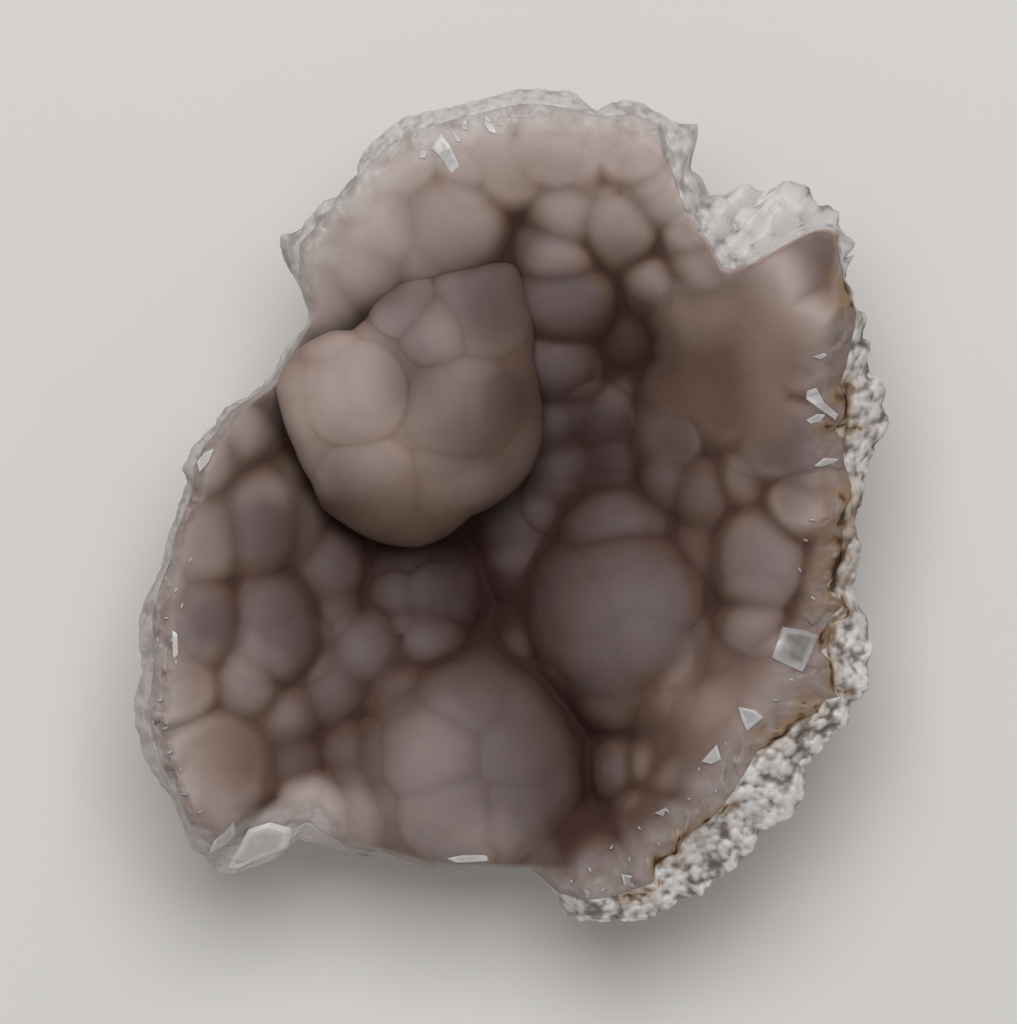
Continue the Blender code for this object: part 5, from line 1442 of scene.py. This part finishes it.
class GEODE_PT_panel(bpy.types.Panel):
    """The sidebar's list of the operators, and of every size, colour and setting"""

    bl_label = "Geode"
    bl_space_type = "VIEW_3D"
    bl_region_type = "UI"
    bl_category = "Geode"

    def draw(self, context):
        for operator in OPERATORS:
            self.layout.operator(operator.bl_idname)
        scene = context.scene
        for group in (scene.geode_sizes, scene.geode_colours, scene.geode_studio):
            box = self.layout.box()
            for name in group.bl_rna.properties.keys():
                if name not in ("rna_type", "name"):
                    box.prop(group, name)


OPERATORS = (GEODE_OT_lining, GEODE_OT_lobe, GEODE_OT_rind, GEODE_OT_splinters, GEODE_OT_studio)
CLASSES = (GeodeSizes, GeodeColours, GeodeStudio, *OPERATORS, GEODE_PT_panel)


def stone_material(name, make, scene):
    """The material of this name, made the first time that it is asked for."""
    return bpy.data.materials.get(name) or make(scene.geode_colours)


def build_floor(material):
    """A flat square, 3 m wide, at the level of the stone's foot."""
    half = 1.5
    corners = [(-half, -half, 0), (half, -half, 0), (half, half, 0), (-half, half, 0)]
    mesh = bpy.data.meshes.new("floor")
    mesh.from_pydata(corners, [], [(0, 1, 2, 3)])
    mesh.materials.append(material)
    floor = bpy.data.objects.new("floor", mesh)
    bpy.context.scene.collection.objects.link(floor)


def build_lights(scene, studio):
    """One big softbox over the picture's top edge, and even light from all round."""
    light = bpy.data.lights.new("softbox", "AREA")
    light.size = studio.box_size
    light.energy = studio.box_power
    lamp = bpy.data.objects.new("softbox", light)
    lamp.location = (0, studio.box_forward, studio.box_height)
    lamp.rotation_euler = (-np.arctan2(studio.box_forward, studio.box_height), 0, 0)
    scene.collection.objects.link(lamp)
    world = bpy.data.worlds.new("room light")
    world.use_nodes = True
    background = world.node_tree.nodes["Background"]
    background.inputs["Color"].default_value = (1, 0.98, 0.96, 1)
    background.inputs["Strength"].default_value = studio.room_light
    scene.world = world
    scene.view_settings.view_transform = "Standard"


def build_camera(scene, studio):
    """A long lens that looks straight down, with the picture's own scale at the aim height: lens =
    sensor * distance / width of the picture in the stone's own millimetres."""
    camera = bpy.data.cameras.new("camera")
    camera.sensor_width = 36
    long_side = max(PICTURE_WIDTH, PICTURE_HEIGHT) / PIXELS_PER_MM * MM
    camera.lens = camera.sensor_width * studio.camera_distance / long_side
    camera.clip_end = 10
    eye = bpy.data.objects.new("camera", camera)
    x = (PICTURE_WIDTH / 2 - PICTURE_ORIGIN[0]) / PIXELS_PER_MM * MM
    y = (PICTURE_ORIGIN[1] - PICTURE_HEIGHT / 2) / PIXELS_PER_MM * MM
    eye.location = (x, y, studio.aim_height + studio.camera_distance)
    scene.collection.objects.link(eye)
    scene.camera = eye


def register():
    """Makes the operators and the panel known, and gives every scene its sizes, colours and studio."""
    for made in CLASSES:
        bpy.utils.register_class(made)
    bpy.types.Scene.geode_sizes = bpy.props.PointerProperty(type=GeodeSizes)
    bpy.types.Scene.geode_colours = bpy.props.PointerProperty(type=GeodeColours)
    bpy.types.Scene.geode_studio = bpy.props.PointerProperty(type=GeodeStudio)


def unregister():
    """Takes all of that back, in the opposite order."""
    del bpy.types.Scene.geode_studio
    del bpy.types.Scene.geode_colours
    del bpy.types.Scene.geode_sizes
    for made in reversed(CLASSES):
        bpy.utils.unregister_class(made)


def main():
    """Builds the four pieces and the studio."""
    register()
    bpy.ops.geode.lining()
    bpy.ops.geode.lobe()
    bpy.ops.geode.rind()
    bpy.ops.geode.splinters()
    bpy.ops.geode.studio()


if __name__ == "__main__":
    main()
